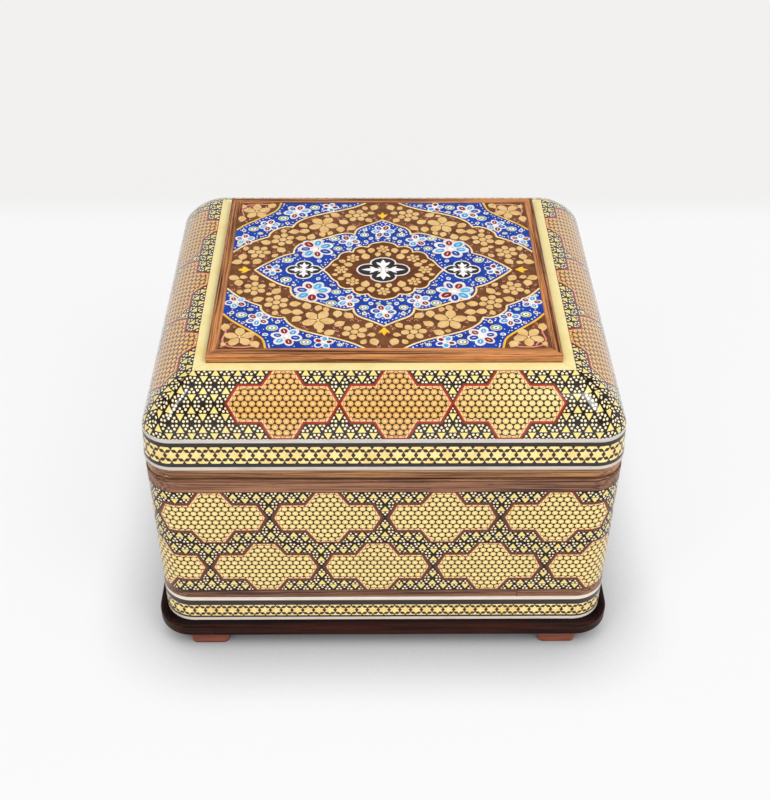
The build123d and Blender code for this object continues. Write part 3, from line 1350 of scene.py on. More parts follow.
def holds(ring: list[Place], spot: Place) -> bool:
    """Tells whether a ring of places goes round a spot.

    Args:
        ring: The ring's places.
        spot: The spot.

    Returns:
        Whether it does.
    """
    inside = False
    for (ax, ay), (bx, by) in zip(ring, ring[1:] + ring[:1]):
        if (ay > spot[1]) != (by > spot[1]) and spot[0] < ax + (bx - ax) * (spot[1] - ay) / (by - ay):
            inside = not inside
    return inside


def beside(x: float, y: float, turn: float, reach: float) -> Place:
    """The place that lies a given reach from another, in a given direction."""
    return x + math.cos(turn) * reach, y + math.sin(turn) * reach


QUARTERS = ((1, 1), (-1, 1), (-1, -1), (1, -1))


@dataclass
class Picture:
    """The painted picture: medallions, corner bands, blossoms and scrolls, alike in its four quarters.

    Attributes:
        half_x: Half the plate's length along X, in millimetres.
        half_y: Half its length along Y.
        face: The height of the plate's face.
        sunk: How far the paint reaches into the plate.
        outline: The width of the outlines.
        hair: The width of the thin strokes.
        vine: The width of the vines in the corners.
        seed: The number that fixes the hand's small wanderings.
    """

    half_x: float = 45.1
    half_y: float = 38.7
    face: float = 96.75
    sunk: float = 0.01
    outline: float = 0.74
    hair: float = 0.26
    vine: float = 0.55
    seed: int = 11

    # What stands in the first quarter, in millimetres from the plate's middle: the edges of the fields, then
    # each flower with its radius and its petals, and each roundel and rosette with its radius.
    FIELD = Trail(
        (
            (37.8, 0.0), (35.2, 2.9), (31.6, 6.3), (29.2, 8.0), (26.8, 9.1), (26.6, 11.6), (25.3, 14.0),
            (22.6, 15.6), (19.4, 16.7), (15.7, 18.7), (12.3, 20.2), (10.2, 20.4), (8.6, 19.6), (8.3, 21.6),
            (7.0, 23.6), (3.6, 25.8), (0.0, 28.3),
        ),
        (4, 12),
    )
    HEART = Trail(
        (
            (17.8, 0.0), (16.2, 2.2), (14.9, 4.8), (13.5, 6.2), (12.7, 8.6), (10.9, 9.8), (9.0, 9.6),
            (8.5, 11.6), (6.7, 12.8), (4.5, 12.5), (3.2, 14.4), (0.0, 15.5),
        ),
        (3, 6, 9),
    )
    BAND_OUT = Trail(
        (
            (45.1, 9.7), (42.4, 13.0), (39.5, 15.6), (36.6, 17.5), (34.9, 18.4), (34.4, 20.8), (32.2, 23.2),
            (29.8, 24.3), (27.9, 24.1), (26.5, 27.0), (23.4, 29.8), (18.6, 32.1), (13.2, 34.1), (8.6, 36.3),
            (5.3, 38.7),
        ),
        (4, 8),
    )
    BAND_IN = Trail(((45.1, 22.3), (42.7, 25.3), (39.4, 28.3), (36.0, 31.3), (33.3, 34.4), (32.2, 38.7)))
    BLOSSOMS = (
        (20.4, 11.4, 5.5, 7), (10.2, 16.1, 3.4, 5), (42.0, 16.8, 3.1, 5), (35.2, 24.9, 3.5, 6),
        (26.8, 33.2, 4.3, 6), (16.6, 35.9, 2.9, 5),
    )
    ROUNDELS = (
        (28.4, 5.2, 1.7), (14.9, 17.2, 1.6), (13.6, 11.6, 1.4), (5.6, 19.4, 1.4), (39.9, 22.9, 1.6),
        (31.0, 29.2, 1.7), (21.4, 35.8, 1.6), (37.6, 20.3, 0.9), (43.6, 13.4, 0.8), (12.0, 37.0, 0.9),
    )
    ROSETTES = ((30.5, 16.8, 1.08), (37.2, 9.7, 1.02), (8.2, 31.0, 1.08))
    # Each gold flower has its radius and its turn.
    GOLD_FLOWERS = ((18.4, 25.4, 3.9, 0.2), (39.6, 33.4, 3.6, 0.9))
    STEMS = (
        (
            (33.0, 1.5), (30.6, 4.2), (26.0, 6.6), (21.0, 11.0), (15.0, 14.6), (10.2, 16.0), (5.0, 19.0),
            (0.6, 21.0),
        ),
        ((44.0, 12.6), (42.2, 17.0), (39.0, 19.6), (37.2, 23.8), (35.0, 25.6), (32.0, 29.6), (27.4, 33.6)),
        ((27.4, 33.6), (22.0, 33.6), (17.0, 36.2), (12.6, 36.4), (9.6, 37.6)),
    )
    CORNER_VINES = (
        ((44.4, 27.0), (43.6, 31.0), (44.2, 34.6), (42.6, 37.4), (38.4, 38.0), (35.0, 37.4)),
        ((44.4, 38.0), (42.6, 35.6), (41.2, 37.4)),
        ((37.4, 31.4), (36.0, 34.0), (37.0, 36.6)),
    )
    # Places that scattered petals and buds keep clear of, each with its radius.
    BROWN_TAKEN = (
        (30.5, 16.8, 3.6), (37.2, 9.7, 3.4), (8.2, 31.0, 3.6), (18.4, 25.4, 4.3), (39.6, 33.4, 4.0),
        (0.0, 0.0, 6.9), (4.5, 0.0, 4.4), (0.0, 31.0, 2.3), (41.0, 0.0, 2.5), (12.4, 0.0, 2.1),
        (0.0, 11.3, 2.0), (9.0, 6.2, 2.1),
    )
    BLUE_TAKEN = (
        (23.4, 0.0, 4.9), (27.0, 0.0, 3.0), (32.6, 0.0, 2.9), (0.0, 21.4, 3.7), (7.2, 13.4, 0.75),
        (1.6, 17.4, 0.75),
    )
    PETAL_SIZES = (1.5, 1.25, 1.05, 0.85, 0.6, 0.45)
    BUD_SIZES = (0.85, 0.65, 0.4, 0.3)
    TRIES = 1000
    # Lifts above a paint's own height, and the hair's breadths that keep shapes out of one plane.
    RAISED = 0.012
    SUNK_DOTS = -0.045
    LEVELS = 8
    LEVEL_STEP = 0.0011
    LEAF = ((1.0, 0.0), (0.55, 0.55), (0.1, 0.95), (-0.5, 0.85), (-0.95, 0.35))

    def build(self) -> list[bpy.types.Object]:
        """Paints the picture.

        Returns:
            One piece for each paint.
        """
        self.hand = random.Random(self.seed)
        self.places: tuple[list[Spot], list[Spot]] = ()
        self.laid = 0
        self.flats = {paint: bmesh.new() for paint in Paint}
        self.strokes: dict[Paint, list[tuple[list[Place], float, bool]]] = {paint: [] for paint in Paint}
        self.fields()
        self.quatrefoil(0.0, 8.0, 6.7)
        for way in (1, -1):
            self.quatrefoil(23.4 * way, 5.4, 4.9)
        for x, y in QUARTERS:
            self.quarter(x, y)
        self.on_axes()
        return [self.piece(paint) for paint in Paint]

    def fields(self) -> None:
        """Paints the coloured fields and their outlines."""
        for trail, paint in ((self.FIELD, Paint.BLUE), (self.HEART, Paint.BROWN)):
            walk = trail.walk()
            ring: list[Place] = []
            for x, y in QUARTERS:
                part = flipped(walk, x, y)
                ring += (part if x * y > 0 else part[::-1])[:-1]
            self.region(paint, ring, self.RAISED if paint is Paint.BROWN else 0.0)
            self.strokes[Paint.CREAM].append((ring, self.outline, True))
            if paint is Paint.BLUE:
                self.dots(ring, 1.15, closed=True)
                self.dots(ring, 2.6, closed=True, space=2.3)
            else:
                self.dots(ring, -1.1, closed=True, space=1.5)
        out, back = self.BAND_OUT.walk(), self.BAND_IN.walk()
        for x, y in QUARTERS:
            ring = flipped(out + back[::-1], x, y)
            self.region(Paint.BLUE, ring, 0.0)
            self.strokes[Paint.CREAM].append((flipped(out, x, y), self.outline, False))
            self.strokes[Paint.YELLOW].append((flipped(back, x, y), self.outline, False))
            side = -1.0 if x * y > 0 else 1.0
            self.dots(flipped(out, x, y), 1.1 * side, space=1.35)
            self.dots(flipped(back, x, y), -1.1 * side, space=1.35)

    def quarter(self, x: int, y: int) -> None:
        """Paints what stands in one quarter.

        Args:
            x: 1 on the right and -1 on the left.
            y: 1 at the back and -1 at the front.
        """
        for stem, paint in zip(self.STEMS, (Paint.ROSE, Paint.WHITE, Paint.WHITE)):
            self.strokes[paint].append((flipped(Trail(stem).walk(), x, y), self.hair * 1.4, False))
        for cx, cy, size, petals in self.BLOSSOMS:
            self.blossom(cx * x, cy * y, size, petals)
        for cx, cy, size in self.ROUNDELS:
            self.roundel(cx * x, cy * y, size)
        for cx, cy, size in self.ROSETTES:
            self.rosette(cx * x, cy * y, size)
        self.rosette(9.0 * x, 6.2 * y, 0.62, self.RAISED)
        for cx, cy, size, turn in self.GOLD_FLOWERS:
            self.gold_flower(cx * x, cy * y, size, turn * x)
        petals, buds = self.scatter()
        for bud in buds:
            self.bud(bud, x, y)
        for petal in petals:
            self.petal(petal, x, y)
        for vine in self.CORNER_VINES:
            self.strokes[Paint.ROSE].append((flipped(Trail(vine).walk(), x, y), self.vine, False))

    def bud(self, spot: Spot, x: int, y: int) -> None:
        """Paints a bud on the blue ground, or a dot where there is less room.

        Args:
            spot: Its place, radius and turn in the first quarter.
            x: 1 on the right and -1 on the left.
            y: 1 at the back and -1 at the front.
        """
        px, py, size, turn = spot
        if size > self.BUD_SIZES[2]:
            fill = (Paint.CYAN, Paint.RED, Paint.GREEN)[int(turn * 5) % 3]
            self.flat(Paint.WHITE, px * x, py * y, size, size * 0.8, turn * x * y)
            self.flat(fill, px * x, py * y, size * 0.5, size * 0.4, turn * x * y)
        else:
            self.flat(Paint.PEARL, px * x, py * y, size * 0.6, size * 0.6, 0.0, self.SUNK_DOTS)

    def petal(self, spot: Spot, x: int, y: int) -> None:
        """Paints a gold petal on the brown ground, or a curl where there is less room.

        Args:
            spot: Its place, radius and turn in the first quarter.
            x: 1 on the right and -1 on the left.
            y: 1 at the back and -1 at the front.
        """
        px, py, size, turn = spot
        if size > self.PETAL_SIZES[4]:
            lift = self.RAISED if px < 18 and py < 16 else 0.0
            way = turn if x * y > 0 else math.pi - turn
            self.leaf(Paint.GOLD, px * x, py * y, size * 1.14, size * 0.92, way, lift)
        else:
            curl = [beside(px, py, turn + k * 0.6, size * (1 - k / 12)) for k in range(9)]
            self.strokes[Paint.ROSE].append((flipped(curl, x, y), self.hair, False))

    def scatter(self) -> tuple[list[Spot], list[Spot]]:
        """Finds room on the grounds of one quarter, at the first call.

        Returns:
            The places for petals on the brown ground, and for buds on the blue.
        """
        if not self.places:
            blue = [(x, y, size * 0.98) for x, y, size, _ in self.BLOSSOMS]
            self.places = (
                self.room(True, [*self.BROWN_TAKEN], self.PETAL_SIZES, 0.10),
                self.room(False, [*blue, *self.ROUNDELS, *self.BLUE_TAKEN], self.BUD_SIZES, 0.30),
            )
        return self.places

    def room(
        self, brown: bool, taken: list[tuple[float, float, float]], sizes: tuple[float, ...], gap: float
    ) -> list[Spot]:
        """Finds free places on one ground of a quarter.

        Args:
            brown: Whether the ground is the brown one.
            taken: The places that are taken already, each with its radius.
            sizes: The radiuses of what is to be placed, from the largest down.
            gap: The space between them.

        Returns:
            The places.
        """
        field, heart, out, back = (t.walk() for t in (self.FIELD, self.HEART, self.BAND_OUT, self.BAND_IN))
        corner, far = (0.0, 0.0), (self.half_x, self.half_y)
        rings = ([corner, *field], [corner, *heart], [*out, far], [*back, far])
        edges, found = field + heart + out + back, []
        for size in sizes:
            for _ in range(self.TRIES):
                spot = (self.hand.uniform(0.5, far[0] - 1.0), self.hand.uniform(0.5, far[1] - 1.0))
                in_field, in_heart, in_out, in_back = (holds(ring, spot) for ring in rings)
                if (in_heart or in_back or not (in_field or in_out)) is not brown or min(spot) < size:
                    continue
                near = any(math.dist(spot, (a, b)) < size + gap + c for a, b, c in taken)
                if near or min(math.dist(spot, edge) for edge in edges) < size + 0.55:
                    continue
                taken.append((*spot, size))
                found.append((*spot, size, self.hand.uniform(0.0, math.tau)))
        return found

    def on_axes(self) -> None:
        """Paints what stands on the two middle lines."""
        for way in (1, -1):
            self.rosette(12.4 * way, 0.0, 0.62, self.RAISED)
            self.rosette(0.0, 11.3 * way, 0.6, self.RAISED)
            self.blossom(32.6 * way, 0.0, 2.9, 5)
            self.blossom(0.0, 21.4 * way, 3.7, 6)
            for turn, long, wide in ((0.0, 1.9, 0.75), (0.75, 1.3, 0.5), (-0.75, 1.3, 0.5)):
                aside, up = math.sin(turn) * long * 0.8, math.pi / 2 * way + turn
                self.leaf(Paint.YELLOW, (39.9 + long * 0.5) * way, aside, long, wide, turn * way)
                self.leaf(Paint.YELLOW, -aside * way, (30.2 + long * 0.4) * way, long, wide, up)
            for x, y in ((7.2, 13.4), (1.6, 17.4)):
                self.roundel(x * way, y, 0.75)
                self.roundel(x * way, -y, 0.75)

    def level(self, paint: Paint, lift: float) -> float:
        """The height of the next shape's top, a hair above the last one's, so no two lie in one plane."""
        self.laid = (self.laid + 1) % self.LEVELS
        return paint.height + lift + self.laid * self.LEVEL_STEP

    def flat(
        self, paint: Paint, x: float, y: float, long: float, wide: float, turn: float, lift: float = 0.0
    ) -> None:
        """Lays an oval of paint.

        Args:
            paint: The paint.
            x: Its middle along X, in millimetres.
            y: Its middle along Y.
            long: Half its length.
            wide: Half its width.
            turn: How its length is turned from X, in radians.
            lift: How far it is raised above the paint's own height.
        """
        place = Matrix.Translation((x, y, self.level(paint, lift))) @ Matrix.Rotation(turn, 4, "Z")
        shape = place @ Matrix.Diagonal((long, wide, 1.0, 1.0))
        count = 8 if long < 0.5 else 14
        bmesh.ops.create_circle(self.flats[paint], cap_ends=True, segments=count, radius=1.0, matrix=shape)

    def region(self, paint: Paint, ring: list[Place], lift: float) -> None:
        """Lays a field of paint inside a ring of places."""
        sheet = self.flats[paint]
        sheet.faces.new([sheet.verts.new((x, y, paint.height + lift)) for x, y in ring])

    def leaf(
        self, paint: Paint, x: float, y: float, long: float, wide: float, turn: float, lift: float = 0.0
    ) -> None:
        """Lays a petal that is pointed at one end.

        Args:
            paint: The paint.
            x: Its middle along X, in millimetres.
            y: Its middle along Y.
            long: Half its length.
            wide: Half its width.
            turn: Where it points, from X, in radians.
            lift: How far it is raised above the paint's own height.
        """
        sheet = self.flats[paint]
        ring = [*self.LEAF, *((px, -py) for px, py in self.LEAF[:0:-1])]
        place = Matrix.Translation((x, y, self.level(paint, lift))) @ Matrix.Rotation(turn, 4, "Z")
        sheet.faces.new([sheet.verts.new(place @ Vector((px * long, py * wide, 0.0))) for px, py in ring])

    def dots(self, line: list[Place], inward: float, closed: bool = False, space: float = 1.3) -> None:
        """Sets white dots beside a line.

        Args:
            line: The line's places.
            inward: How far to its left the dots stand, in millimetres.
            closed: Whether the line is a ring.
            space: The distance between dots.
        """
        ends = line[1:] + line[:1] if closed else line[1:]
        left = space / 2
        for (ax, ay), (bx, by) in zip(line, ends):
            length = math.hypot(bx - ax, by - ay)
            while left < length:
                share = left / length
                x = ax + (bx - ax) * share - (by - ay) / length * inward
                y = ay + (by - ay) * share + (bx - ax) / length * inward
                if abs(x) < self.half_x - 0.3 and abs(y) < self.half_y - 0.3:
                    size = self.hand.uniform(0.19, 0.28)
                    self.flat(Paint.PEARL, x, y, size, size, 0.0, self.SUNK_DOTS)
                left += space
            left -= length

    def blossom(self, x: float, y: float, size: float, petals: int) -> None:
        """Paints a white-edged flower with petals of several colours.

        Args:
            x: Its middle along X, in millimetres.
            y: Its middle along Y.
            size: Its radius.
            petals: How many petals it has.
        """
        start = self.hand.uniform(0.0, 1.5)
        fills = (Paint.CYAN, Paint.RED, Paint.BLUE)
        for index in range(petals):
            turn = start + 2 * math.pi * index / petals
            reach = size * self.hand.uniform(0.52, 0.62)
            long, wide = size * 0.45, size * self.hand.uniform(0.34, 0.40) * (5.5 / (petals + 0.5)) ** 0.5
            px, py = beside(x, y, turn, reach)
            self.flat(Paint.WHITE, px, py, long, wide, turn, index * 0.0004)
            fill = fills[index % len(fills)]
            lift = Paint.CYAN.height - Paint.BLUE.height if fill is Paint.BLUE else 0.0
            inner = self.hand.uniform(0.52, 0.68)
            self.flat(fill, px, py, long * inner, wide * inner, turn, lift)
            if size > 3:
                self.flat(Paint.PEARL, px, py, long * 0.32, 0.11, turn)
        self.flat(Paint.PEARL, x, y, size * 0.15, size * 0.15, 0.0)

    def roundel(self, x: float, y: float, size: float) -> None:
        """Paints a green-ringed white spot.

        Args:
            x: Its middle along X, in millimetres.
            y: Its middle along Y.
            size: Its radius.
        """
        self.flat(Paint.WHITE, x, y, size, size * 0.82, 0.0)
        self.flat(Paint.GREEN, x, y, size * 0.84, size * 0.68, 0.0)
        self.flat(Paint.PEARL, x, y, size * 0.56, size * 0.44, 0.0, -0.012)
        self.flat(Paint.BLACK, x, y, size * 0.2, size * 0.18, 0.0, 0.01)

    def rosette(self, x: float, y: float, size: float, lift: float = 0.0) -> None:
        """Paints six gold spots round a seventh.

        Args:
            x: Its middle along X, in millimetres.
            y: Its middle along Y.
            size: A spot's radius.
            lift: How far they are raised above the paint's own height.
        """
        self.flat(Paint.GOLD, x, y, size, size * 0.94, 0.0, lift)
        start = self.hand.uniform(0.0, 1.0)
        for index in range(6):
            turn = start + math.pi / 3 * index
            px, py = beside(x, y, turn, size * 2.28)
            self.flat(Paint.GOLD, px, py, size * self.hand.uniform(1.02, 1.16), size * 0.98, turn, lift)

    def gold_flower(self, x: float, y: float, size: float, turn: float) -> None:
        """Paints a gold flower with five broad petals.

        Args:
            x: Its middle along X, in millimetres.
            y: Its middle along Y.
            size: Its radius.
            turn: How it is turned, in radians.
        """
        for index in range(5):
            way = turn + 2 * math.pi * index / 5
            px, py = beside(x, y, way, size * 0.66)
            self.leaf(Paint.GOLD, px, py, size * 0.56, size * 0.40, way + math.pi)
        self.flat(Paint.CREAM, x, y, size * 0.1, size * 0.1, 0.0)

    def quatrefoil(self, x: float, half_x: float, half_y: float) -> None:
        """Paints a black and white quatrefoil.

        Args:
            x: Its middle along X, in millimetres.
            half_x: Half its length along X.
            half_y: Half its length along Y.
        """
        for quarter in range(4):
            turn = math.pi / 2 * quarter
            reach, other = (half_x, half_y) if quarter % 2 == 0 else (half_y, half_x)
            wide = other * 0.50
            px, py = beside(x, 0.0, turn, reach * 0.54)
            self.flat(Paint.WHITE, px, py, reach * 0.46, wide, turn, 0.004)
            self.flat(Paint.BLACK, px, py, reach * 0.46 - 0.5, wide - 0.5, turn)
            if x * math.cos(turn) < -1:
                self.leaf(Paint.WHITE, px, py, reach * 0.62, wide * 0.98, turn, 0.004)
                self.leaf(Paint.BLACK, px, py, reach * 0.62 - 0.9, wide * 0.98 - 0.55, turn)
            px, py = beside(x, 0.0, turn, reach * 0.44)
            self.leaf(Paint.PEARL, px, py, reach * 0.37, wide * 0.25, turn)
            for side in (1, -1):
                spread = turn + 0.75 * side
                sx, sy = beside(*beside(x, 0.0, turn, reach * 0.27), spread, wide * 0.4)
                self.leaf(Paint.PEARL, sx, sy, wide * 0.36, wide * 0.15, spread)
            end = beside(x, 0.0, turn + math.pi / 4, half_y * 0.66)
            self.strokes[Paint.PEARL].append(([(x, 0.0), end], self.hair * 1.3, False))
        self.flat(Paint.PEARL, x, 0.0, half_y * 0.1, half_y * 0.1, 0.0)

    def piece(self, paint: Paint) -> bpy.types.Object:
        """Turns one paint's shapes into a piece on the plate.

        Args:
            paint: The paint.

        Returns:
            The piece.
        """
        sheet = self.flats[paint]
        tops = list(sheet.faces)
        bmesh.ops.triangulate(sheet, faces=tops)
        made = bmesh.ops.extrude_face_region(sheet, geom=list(sheet.faces), use_keep_orig=True)
        for vert in (v for v in made["geom"] if isinstance(v, bmesh.types.BMVert)):
            vert.co.z = -self.sunk
        if self.strokes[paint]:
            self.add_strokes(sheet, paint)
        bmesh.ops.scale(sheet, vec=(MM, MM, MM), verts=list(sheet.verts))
        bmesh.ops.translate(sheet, vec=(0.0, 0.0, self.face * MM), verts=list(sheet.verts))
        bmesh.ops.recalc_face_normals(sheet, faces=list(sheet.faces))
        piece = placed(f"picture_{paint.name.lower()}", sheet, self.paint_finish(paint))
        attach(piece, "lid")
        LOG.info("%s has %d faces", piece.name, len(piece.data.polygons))
        return piece

    def add_strokes(self, sheet: bmesh.types.BMesh, paint: Paint) -> None:
        """Adds one paint's strokes, as low rounded ridges.

        Args:
            sheet: The mesh that they are added to.
            paint: The paint.
        """
        curve = bpy.data.curves.new("strokes", "CURVE")
        curve.dimensions, curve.bevel_depth, curve.bevel_resolution = "3D", 1.0, 1
        curve.use_fill_caps = True
        for places, width, closed in self.strokes[paint]:
            spline = curve.splines.new("POLY")
            spline.points.add(len(places) - 1)
            for point, (x, y) in zip(spline.points, places):
                point.co = (x, y, 0.0, 1.0)
                point.radius = width / 2
            spline.use_cyclic_u = closed
        holder = bpy.data.objects.new("strokes", curve)
        mesh = bpy.data.meshes.new_from_object(holder)
        ridge = bmesh.new()
        ridge.from_mesh(mesh)
        low = paint.height / (self.outline / 2)
        bmesh.ops.scale(ridge, vec=(1.0, 1.0, low), verts=list(ridge.verts))
        for vert in ridge.verts:
            vert.co.z = max(vert.co.z, -self.sunk)
        ridge.to_mesh(mesh)
        ridge.free()
        sheet.from_mesh(mesh)
        bpy.data.objects.remove(holder)

    def paint_finish(self, paint: Paint) -> bpy.types.Material:
        """Makes the finish of one paint.

        Args:
            paint: The paint.

        Returns:
            The material.
        """
        graph = Graph.material(f"paint_{paint.name.lower()}")
        x, y, z = graph.millimetres()
        where = graph.point(x, y, z)
        wash = graph.noise(where, 0.35, 3.0, 0.6)
        brush = graph.noise(graph.point(x * 2.5, y * 0.8, z), 1.0, 3.0)
        share = (wash * 0.7 + brush * 0.35).between(0.38, 0.72)
        return graph.surface(
            Base_Color=graph.blend(share, paint.value[0], paint.value[1]),
            Roughness=brush * 0.2 + 0.3,
            Normal=graph.bump(brush, 0.00003, 0.4),
            Specular_IOR_Level=0.2,
            Coat_Weight=0.15,
            Coat_Roughness=0.12,
        )


@dataclass
class Padding:
    """Velvet-covered pads that line the case and the lid.

    Attributes:
        thick: A pad's thickness at its edges, in millimetres.
        crown: How much fuller its middle is.
        round_edge: How far in from its edges it is rounded.
        cells: How many cells its face has each way.
    """

    thick: float = 1.4
    crown: float = 0.5
    round_edge: float = 2.4
    cells: int = 36

    def build(self, velvet: bpy.types.Material) -> None:
        """Makes the four pads of both parts.

        Args:
            velvet: The cover's material.
        """
        for name, node, body, up in (
            ("case_floor_pad", "floor_lining", "case", 1),
            ("lid_top_pad", "lid_top_lining", "lid", -1),
        ):
            low, high = (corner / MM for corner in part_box(node))
            place = Matrix.Translation((0.0, 0.0, low.z if up > 0 else high.z))
            turn = Matrix.Rotation(0.0 if up > 0 else math.pi, 4, "X")
            shape = bmesh.new()
            self.face(shape, place @ turn, high.x, high.y, 1.0)
            self.close(shape, name, node, body, velvet)
        for name, node, body in (
            ("case_side_pads", "case_side_lining", "case"),
            ("lid_side_pads", "lid_side_lining", "lid"),
        ):
            low, high = (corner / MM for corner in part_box(node))
            shape = bmesh.new()
            for side in Side:
                out, along = (high.y, high.x) if side.across_x else (high.x, high.y)
                tip = Matrix.Rotation(math.pi / 2, 4, "X")
                turn = Matrix.Rotation(math.pi / 2 * side.value, 4, "Z") @ Matrix.Rotation(math.pi, 4, "Z")
                place = turn @ Matrix.Translation((0.0, out, (low.z + high.z) / 2)) @ tip
                self.face(shape, place, along - self.thick * 0.5, (high.z - low.z) / 2, 0.5)
            self.close(shape, name, node, body, velvet)

    def face(
        self, shape: bmesh.types.BMesh, place: Matrix, half_x: float, half_y: float, full: float
    ) -> None:
        """Adds one pad, with its back at height 0 before it is placed.

        Args:
            shape: The mesh that it is added to.
            place: Where it goes.
            half_x: Half its length.
            half_y: Half its width.
            full: How much of the crown it has.
        """
        made = bmesh.ops.create_grid(shape, x_segments=self.cells, y_segments=self.cells, size=1.0)["verts"]
        for vert in made:
            px, py = vert.co.x, vert.co.y
            x, y = half_x * math.sin(px * math.pi / 2), half_y * math.sin(py * math.pi / 2)
            edge = min(half_x - abs(x), half_y - abs(y), self.round_edge) / self.round_edge
            fall = 0.75 * (1 - math.sqrt(1 - (1 - edge) ** 2))
            puff = self.crown * full * (1 - px**4) * (1 - py**4)
            vert.co = (x, y, self.thick * (1 - fall) + puff)
        rim = [e for e in shape.edges if e.is_boundary and e.verts[0] in set(made)]
        skirt = bmesh.ops.extrude_edge_only(shape, edges=rim)["geom"]
        hem = [v for v in skirt if isinstance(v, bmesh.types.BMVert)]
        for vert in hem:
            vert.co.z = 0.0
        bmesh.ops.contextual_create(shape, geom=[e for e in skirt if isinstance(e, bmesh.types.BMEdge)])
        bmesh.ops.transform(shape, matrix=place, verts=[*made, *hem])

    def close(
        self, shape: bmesh.types.BMesh, name: str, node: str, body: str, velvet: bpy.types.Material
    ) -> None:
        """Turns pads into a piece that stands for a lining.

        Args:
            shape: The mesh of the pads.
            name: The piece's name.
            node: The lining's name.
            body: The part that it rides on.
            velvet: The cover's material.
        """
        bmesh.ops.scale(shape, vec=(MM, MM, MM), verts=list(shape.verts))
        bmesh.ops.recalc_face_normals(shape, faces=list(shape.faces))
        for face in shape.faces:
            face.smooth = len(face.verts) == 4
        pad = placed(name, shape, velvet)
        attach(pad, body)
        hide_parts(node)
        LOG.info("%s stands for %s", name, node)


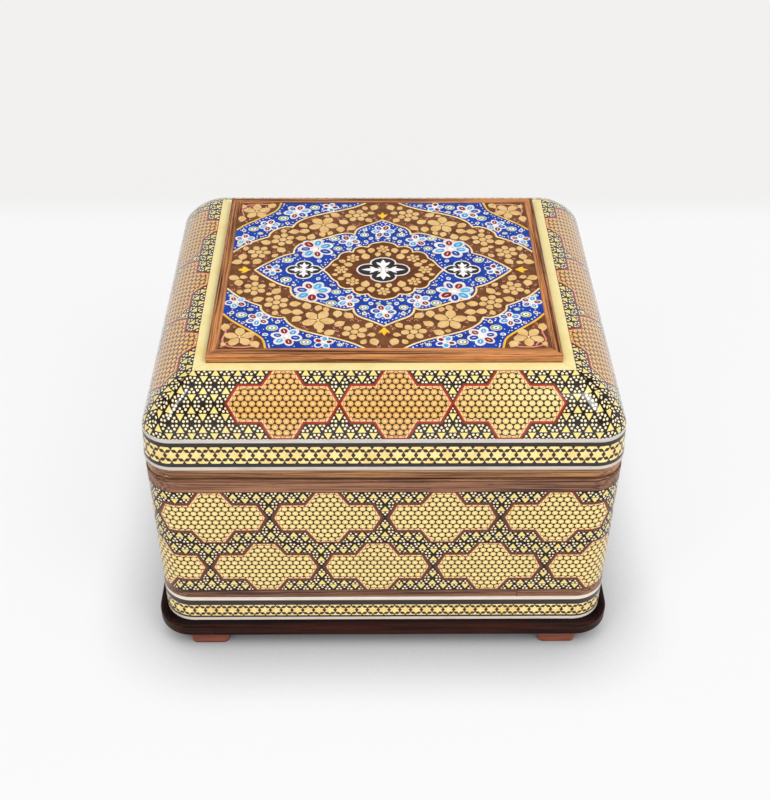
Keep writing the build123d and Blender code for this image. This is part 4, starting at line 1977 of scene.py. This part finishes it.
@dataclass
class Dresser:
    """Gives every part that the frame carries its finish.

    Attributes:
        nodes: The frame's parts by name.
    """

    nodes: dict[str, bpy.types.Object]

    def wear(self, material: bpy.types.Material, slot: str, *names: str) -> None:
        """Puts a material on parts.

        Args:
            material: The material.
            slot: The record's slot that it stands for; not used.
            names: The parts' names, or their first letters followed by a star.
        """
        for name in names:
            stem = name.rstrip("*")
            found = [n for n in self.nodes if n == name or (name.endswith("*") and n.startswith(stem))]
            for part in found:
                data = self.nodes[part].data
                data.materials.clear()
                data.materials.append(material)
        LOG.info("%s on %s", material.name, ", ".join(names))

    def woods(self) -> None:
        """Dresses the feet, the plinth, the boards, the rims and the picture frame."""
        foot = Wood("foot_rosewood", tone(142, 72, 48), tone(92, 42, 28), tone(50, 20, 14), streak=0.7)
        self.wear(foot.dress(), "foot_wood", "foot_*")
        # The plinth carries painted shade along its top, where the case stands on it.
        plinth = Wood(
            "plinth_rosewood", tone(58, 22, 12), tone(14, 3, 2), tone(7, 1, 1), streak=1.5, joints=(-51.0,),
            painted_seam_shade=(9.9, 0.9), lacquer=0.04, gloss=0.08,
        )
        self.wear(plinth.dress(), "plinth_wood", "plinth_*")
        board = Wood("base_board", tone(196, 160, 118), tone(160, 122, 84), tone(110, 78, 50), lacquer=0.1)
        self.wear(board.dress(), "base_board", "bottom_board")
        core = Wood("core_poplar", tone(214, 184, 142), tone(186, 150, 108), tone(150, 114, 78), lacquer=0.1)
        self.wear(core.dress(), "core_wood", "wall_*", "lid_side_*", "lid_top_board")
        # The case and lid rims carry painted shade along the parting gap between case and lid.
        case_rim = Wood(
            "case_walnut", tone(164, 114, 82), tone(66, 36, 28), tone(36, 18, 14), streak=2.4,
            painted_seam_shade=(66.62, 0.26),
        )
        self.wear(case_rim.dress(), "walnut", "body_rim_strip")
        lower = replace(case_rim, name="lower_walnut", joints=(39.5,))
        self.wear(lower.dress(), "walnut", "body_lower_strip")
        lid_rim = Wood(
            "lid_walnut", tone(188, 136, 84), tone(92, 50, 30), tone(50, 24, 16), streak=2.2,
            painted_seam_shade=(67.68, 0.26),
        )
        self.wear(lid_rim.dress(), "walnut", "lid_rim_strip")
        # The frame carries painted shade along its foot, where it meets the pale border.
        frame = Wood(
            "frame_walnut", tone(210, 140, 84), tone(76, 34, 16), tone(44, 17, 9), mitre=6.4, streak=2.2,
            painted_seam_shade=(94.3, 0.6),
        )
        self.wear(frame.dress(), "frame_wood", "panel_frame_*")

    def lines(self) -> None:
        """Dresses the thin inlaid lines and the pale border."""
        lid_white = InlayLine("lid_bone", tone(208, 201, 193), tone(190, 181, 171), tone(158, 150, 142))
        self.wear(lid_white.dress(), "white_line", "lid_white_line_*")
        case_white = InlayLine("case_bone", tone(238, 226, 212), tone(226, 210, 198), tone(186, 168, 154))
        self.wear(case_white.dress(), "white_line", "body_white_line_*")
        black = InlayLine("ebony", tone(34, 25, 22), tone(52, 36, 30), tone(104, 84, 70))
        self.wear(black.dress(), "black_line", "lid_black_line_*", "body_black_line_*")
        border = InlayLine(
            "pale_border", tone(240, 225, 164), tone(234, 214, 140), tone(200, 182, 112), mitre=6.4
        )
        self.wear(border.dress(), "pale_border", "border_strips")

    def bands(self) -> None:
        """Dresses the two star bands."""
        star, warm, lozenge = tone(252, 228, 152), tone(244, 208, 128), tone(50, 26, 6)
        lid = StarBand(
            "lid_star_inlay", half_x=66.0, half_y=58.9, corner=8.6, middle=76.12, repeats=144,
            star=star, warm=warm, lozenge=lozenge,
        )
        self.wear(lid.dress(), "star_band", "lid_star_band")
        case = replace(
            lid, name="case_star_inlay", half_x=66.2, half_y=59.1, corner=9.2, middle=14.12, repeats=150
        )
        self.wear(case.dress(), "star_band", "body_star_band")

    def mosaics(self) -> None:
        """Dresses the mosaic sheets of the case and the lid."""
        case = CaseSheets(
            CartoucheInlay(
                pitch=32.36,
                half_height=9.962,
                outline=0.84,
                ground_pitch=32.36 / 5,
                ground_row=9.962 / 2,
                bead_row=1.715,
                bead_pitch=1.98,
                bead=tone(255, 226, 148),
                bead_heart=tone(255, 238, 184),
                scallop=tone(250, 206, 150),
                bright=tone(176, 62, 30),
                dull=tone(122, 62, 38),
                deep=tone(98, 50, 34),
                turnover=-0.2,
                parting=0.85,
                **BEAD_COLOURS,
            )
        )
        lid = LidSheets(
            CartoucheInlay(
                pitch=30.1,
                half_height=9.85,
                outline=0.72,
                ground_pitch=30.1 / 5,
                ground_row=5.3,
                bead_row=1.58,
                bead=tone(236, 178, 98),
                bead_heart=tone(250, 212, 146),
                scallop=tone(248, 190, 134),
                bright=tone(180, 44, 12),
                dull=tone(150, 44, 18),
                deep=tone(100, 24, 10),
                turnover=0.12,
                lacquer=0.9,
                **BEAD_COLOURS,
            )
        )
        shifts = {Side.FRONT: 3.0, Side.RIGHT: 0.4, Side.BACK: -1.5, Side.LEFT: 1.0}
        for side in Side:
            self.wear(case.dress(side), "mosaic", f"body_mosaic_{side.word}")
            self.wear(lid.dress(side, shifts[side]), "mosaic", f"lid_mosaic_{side.word}")

    def soft_and_metal(self) -> None:
        """Dresses the linings and the hinges."""
        velvet = Velvet("wine_velvet", tone(112, 11, 30), tone(144, 24, 44)).dress()
        self.wear(velvet, "velvet", "case_side_lining", "floor_lining", "lid_side_lining", "lid_top_lining")
        Padding().build(velvet)
        brass = Metal("brass", tone(222, 184, 104), tone(168, 128, 64)).dress()
        self.wear(brass, "brass", "hinge_*")

    def painted_ground(self) -> None:
        """Dresses the plate under the painting."""
        graph = Graph.material("painted_ground")
        x, y, z = graph.millimetres()
        cloud = graph.noise(graph.point(x, y, z), 0.5, 3.0)
        colour = graph.blend(cloud.between(0.3, 0.7), tone(96, 54, 28), tone(122, 76, 44))
        ground = graph.surface(
            Base_Color=colour,
            Roughness=cloud * 0.15 + 0.3,
            Specular_IOR_Level=0.2,
            Coat_Weight=0.15,
        )
        self.wear(ground, "painting", "painted_plate")


def main() -> None:
    """Loads the frame and builds each sub-assembly in order."""
    logging.basicConfig(level=logging.INFO, format="%(message)s")
    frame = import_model()
    Photographer().build()
    Studio().build()
    dresser = Dresser(frame["nodes"])
    dresser.woods()
    dresser.lines()
    dresser.bands()
    dresser.mosaics()
    dresser.soft_and_metal()
    dresser.painted_ground()
    Picture().build()
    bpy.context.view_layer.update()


if __name__ == "__main__":
    main()
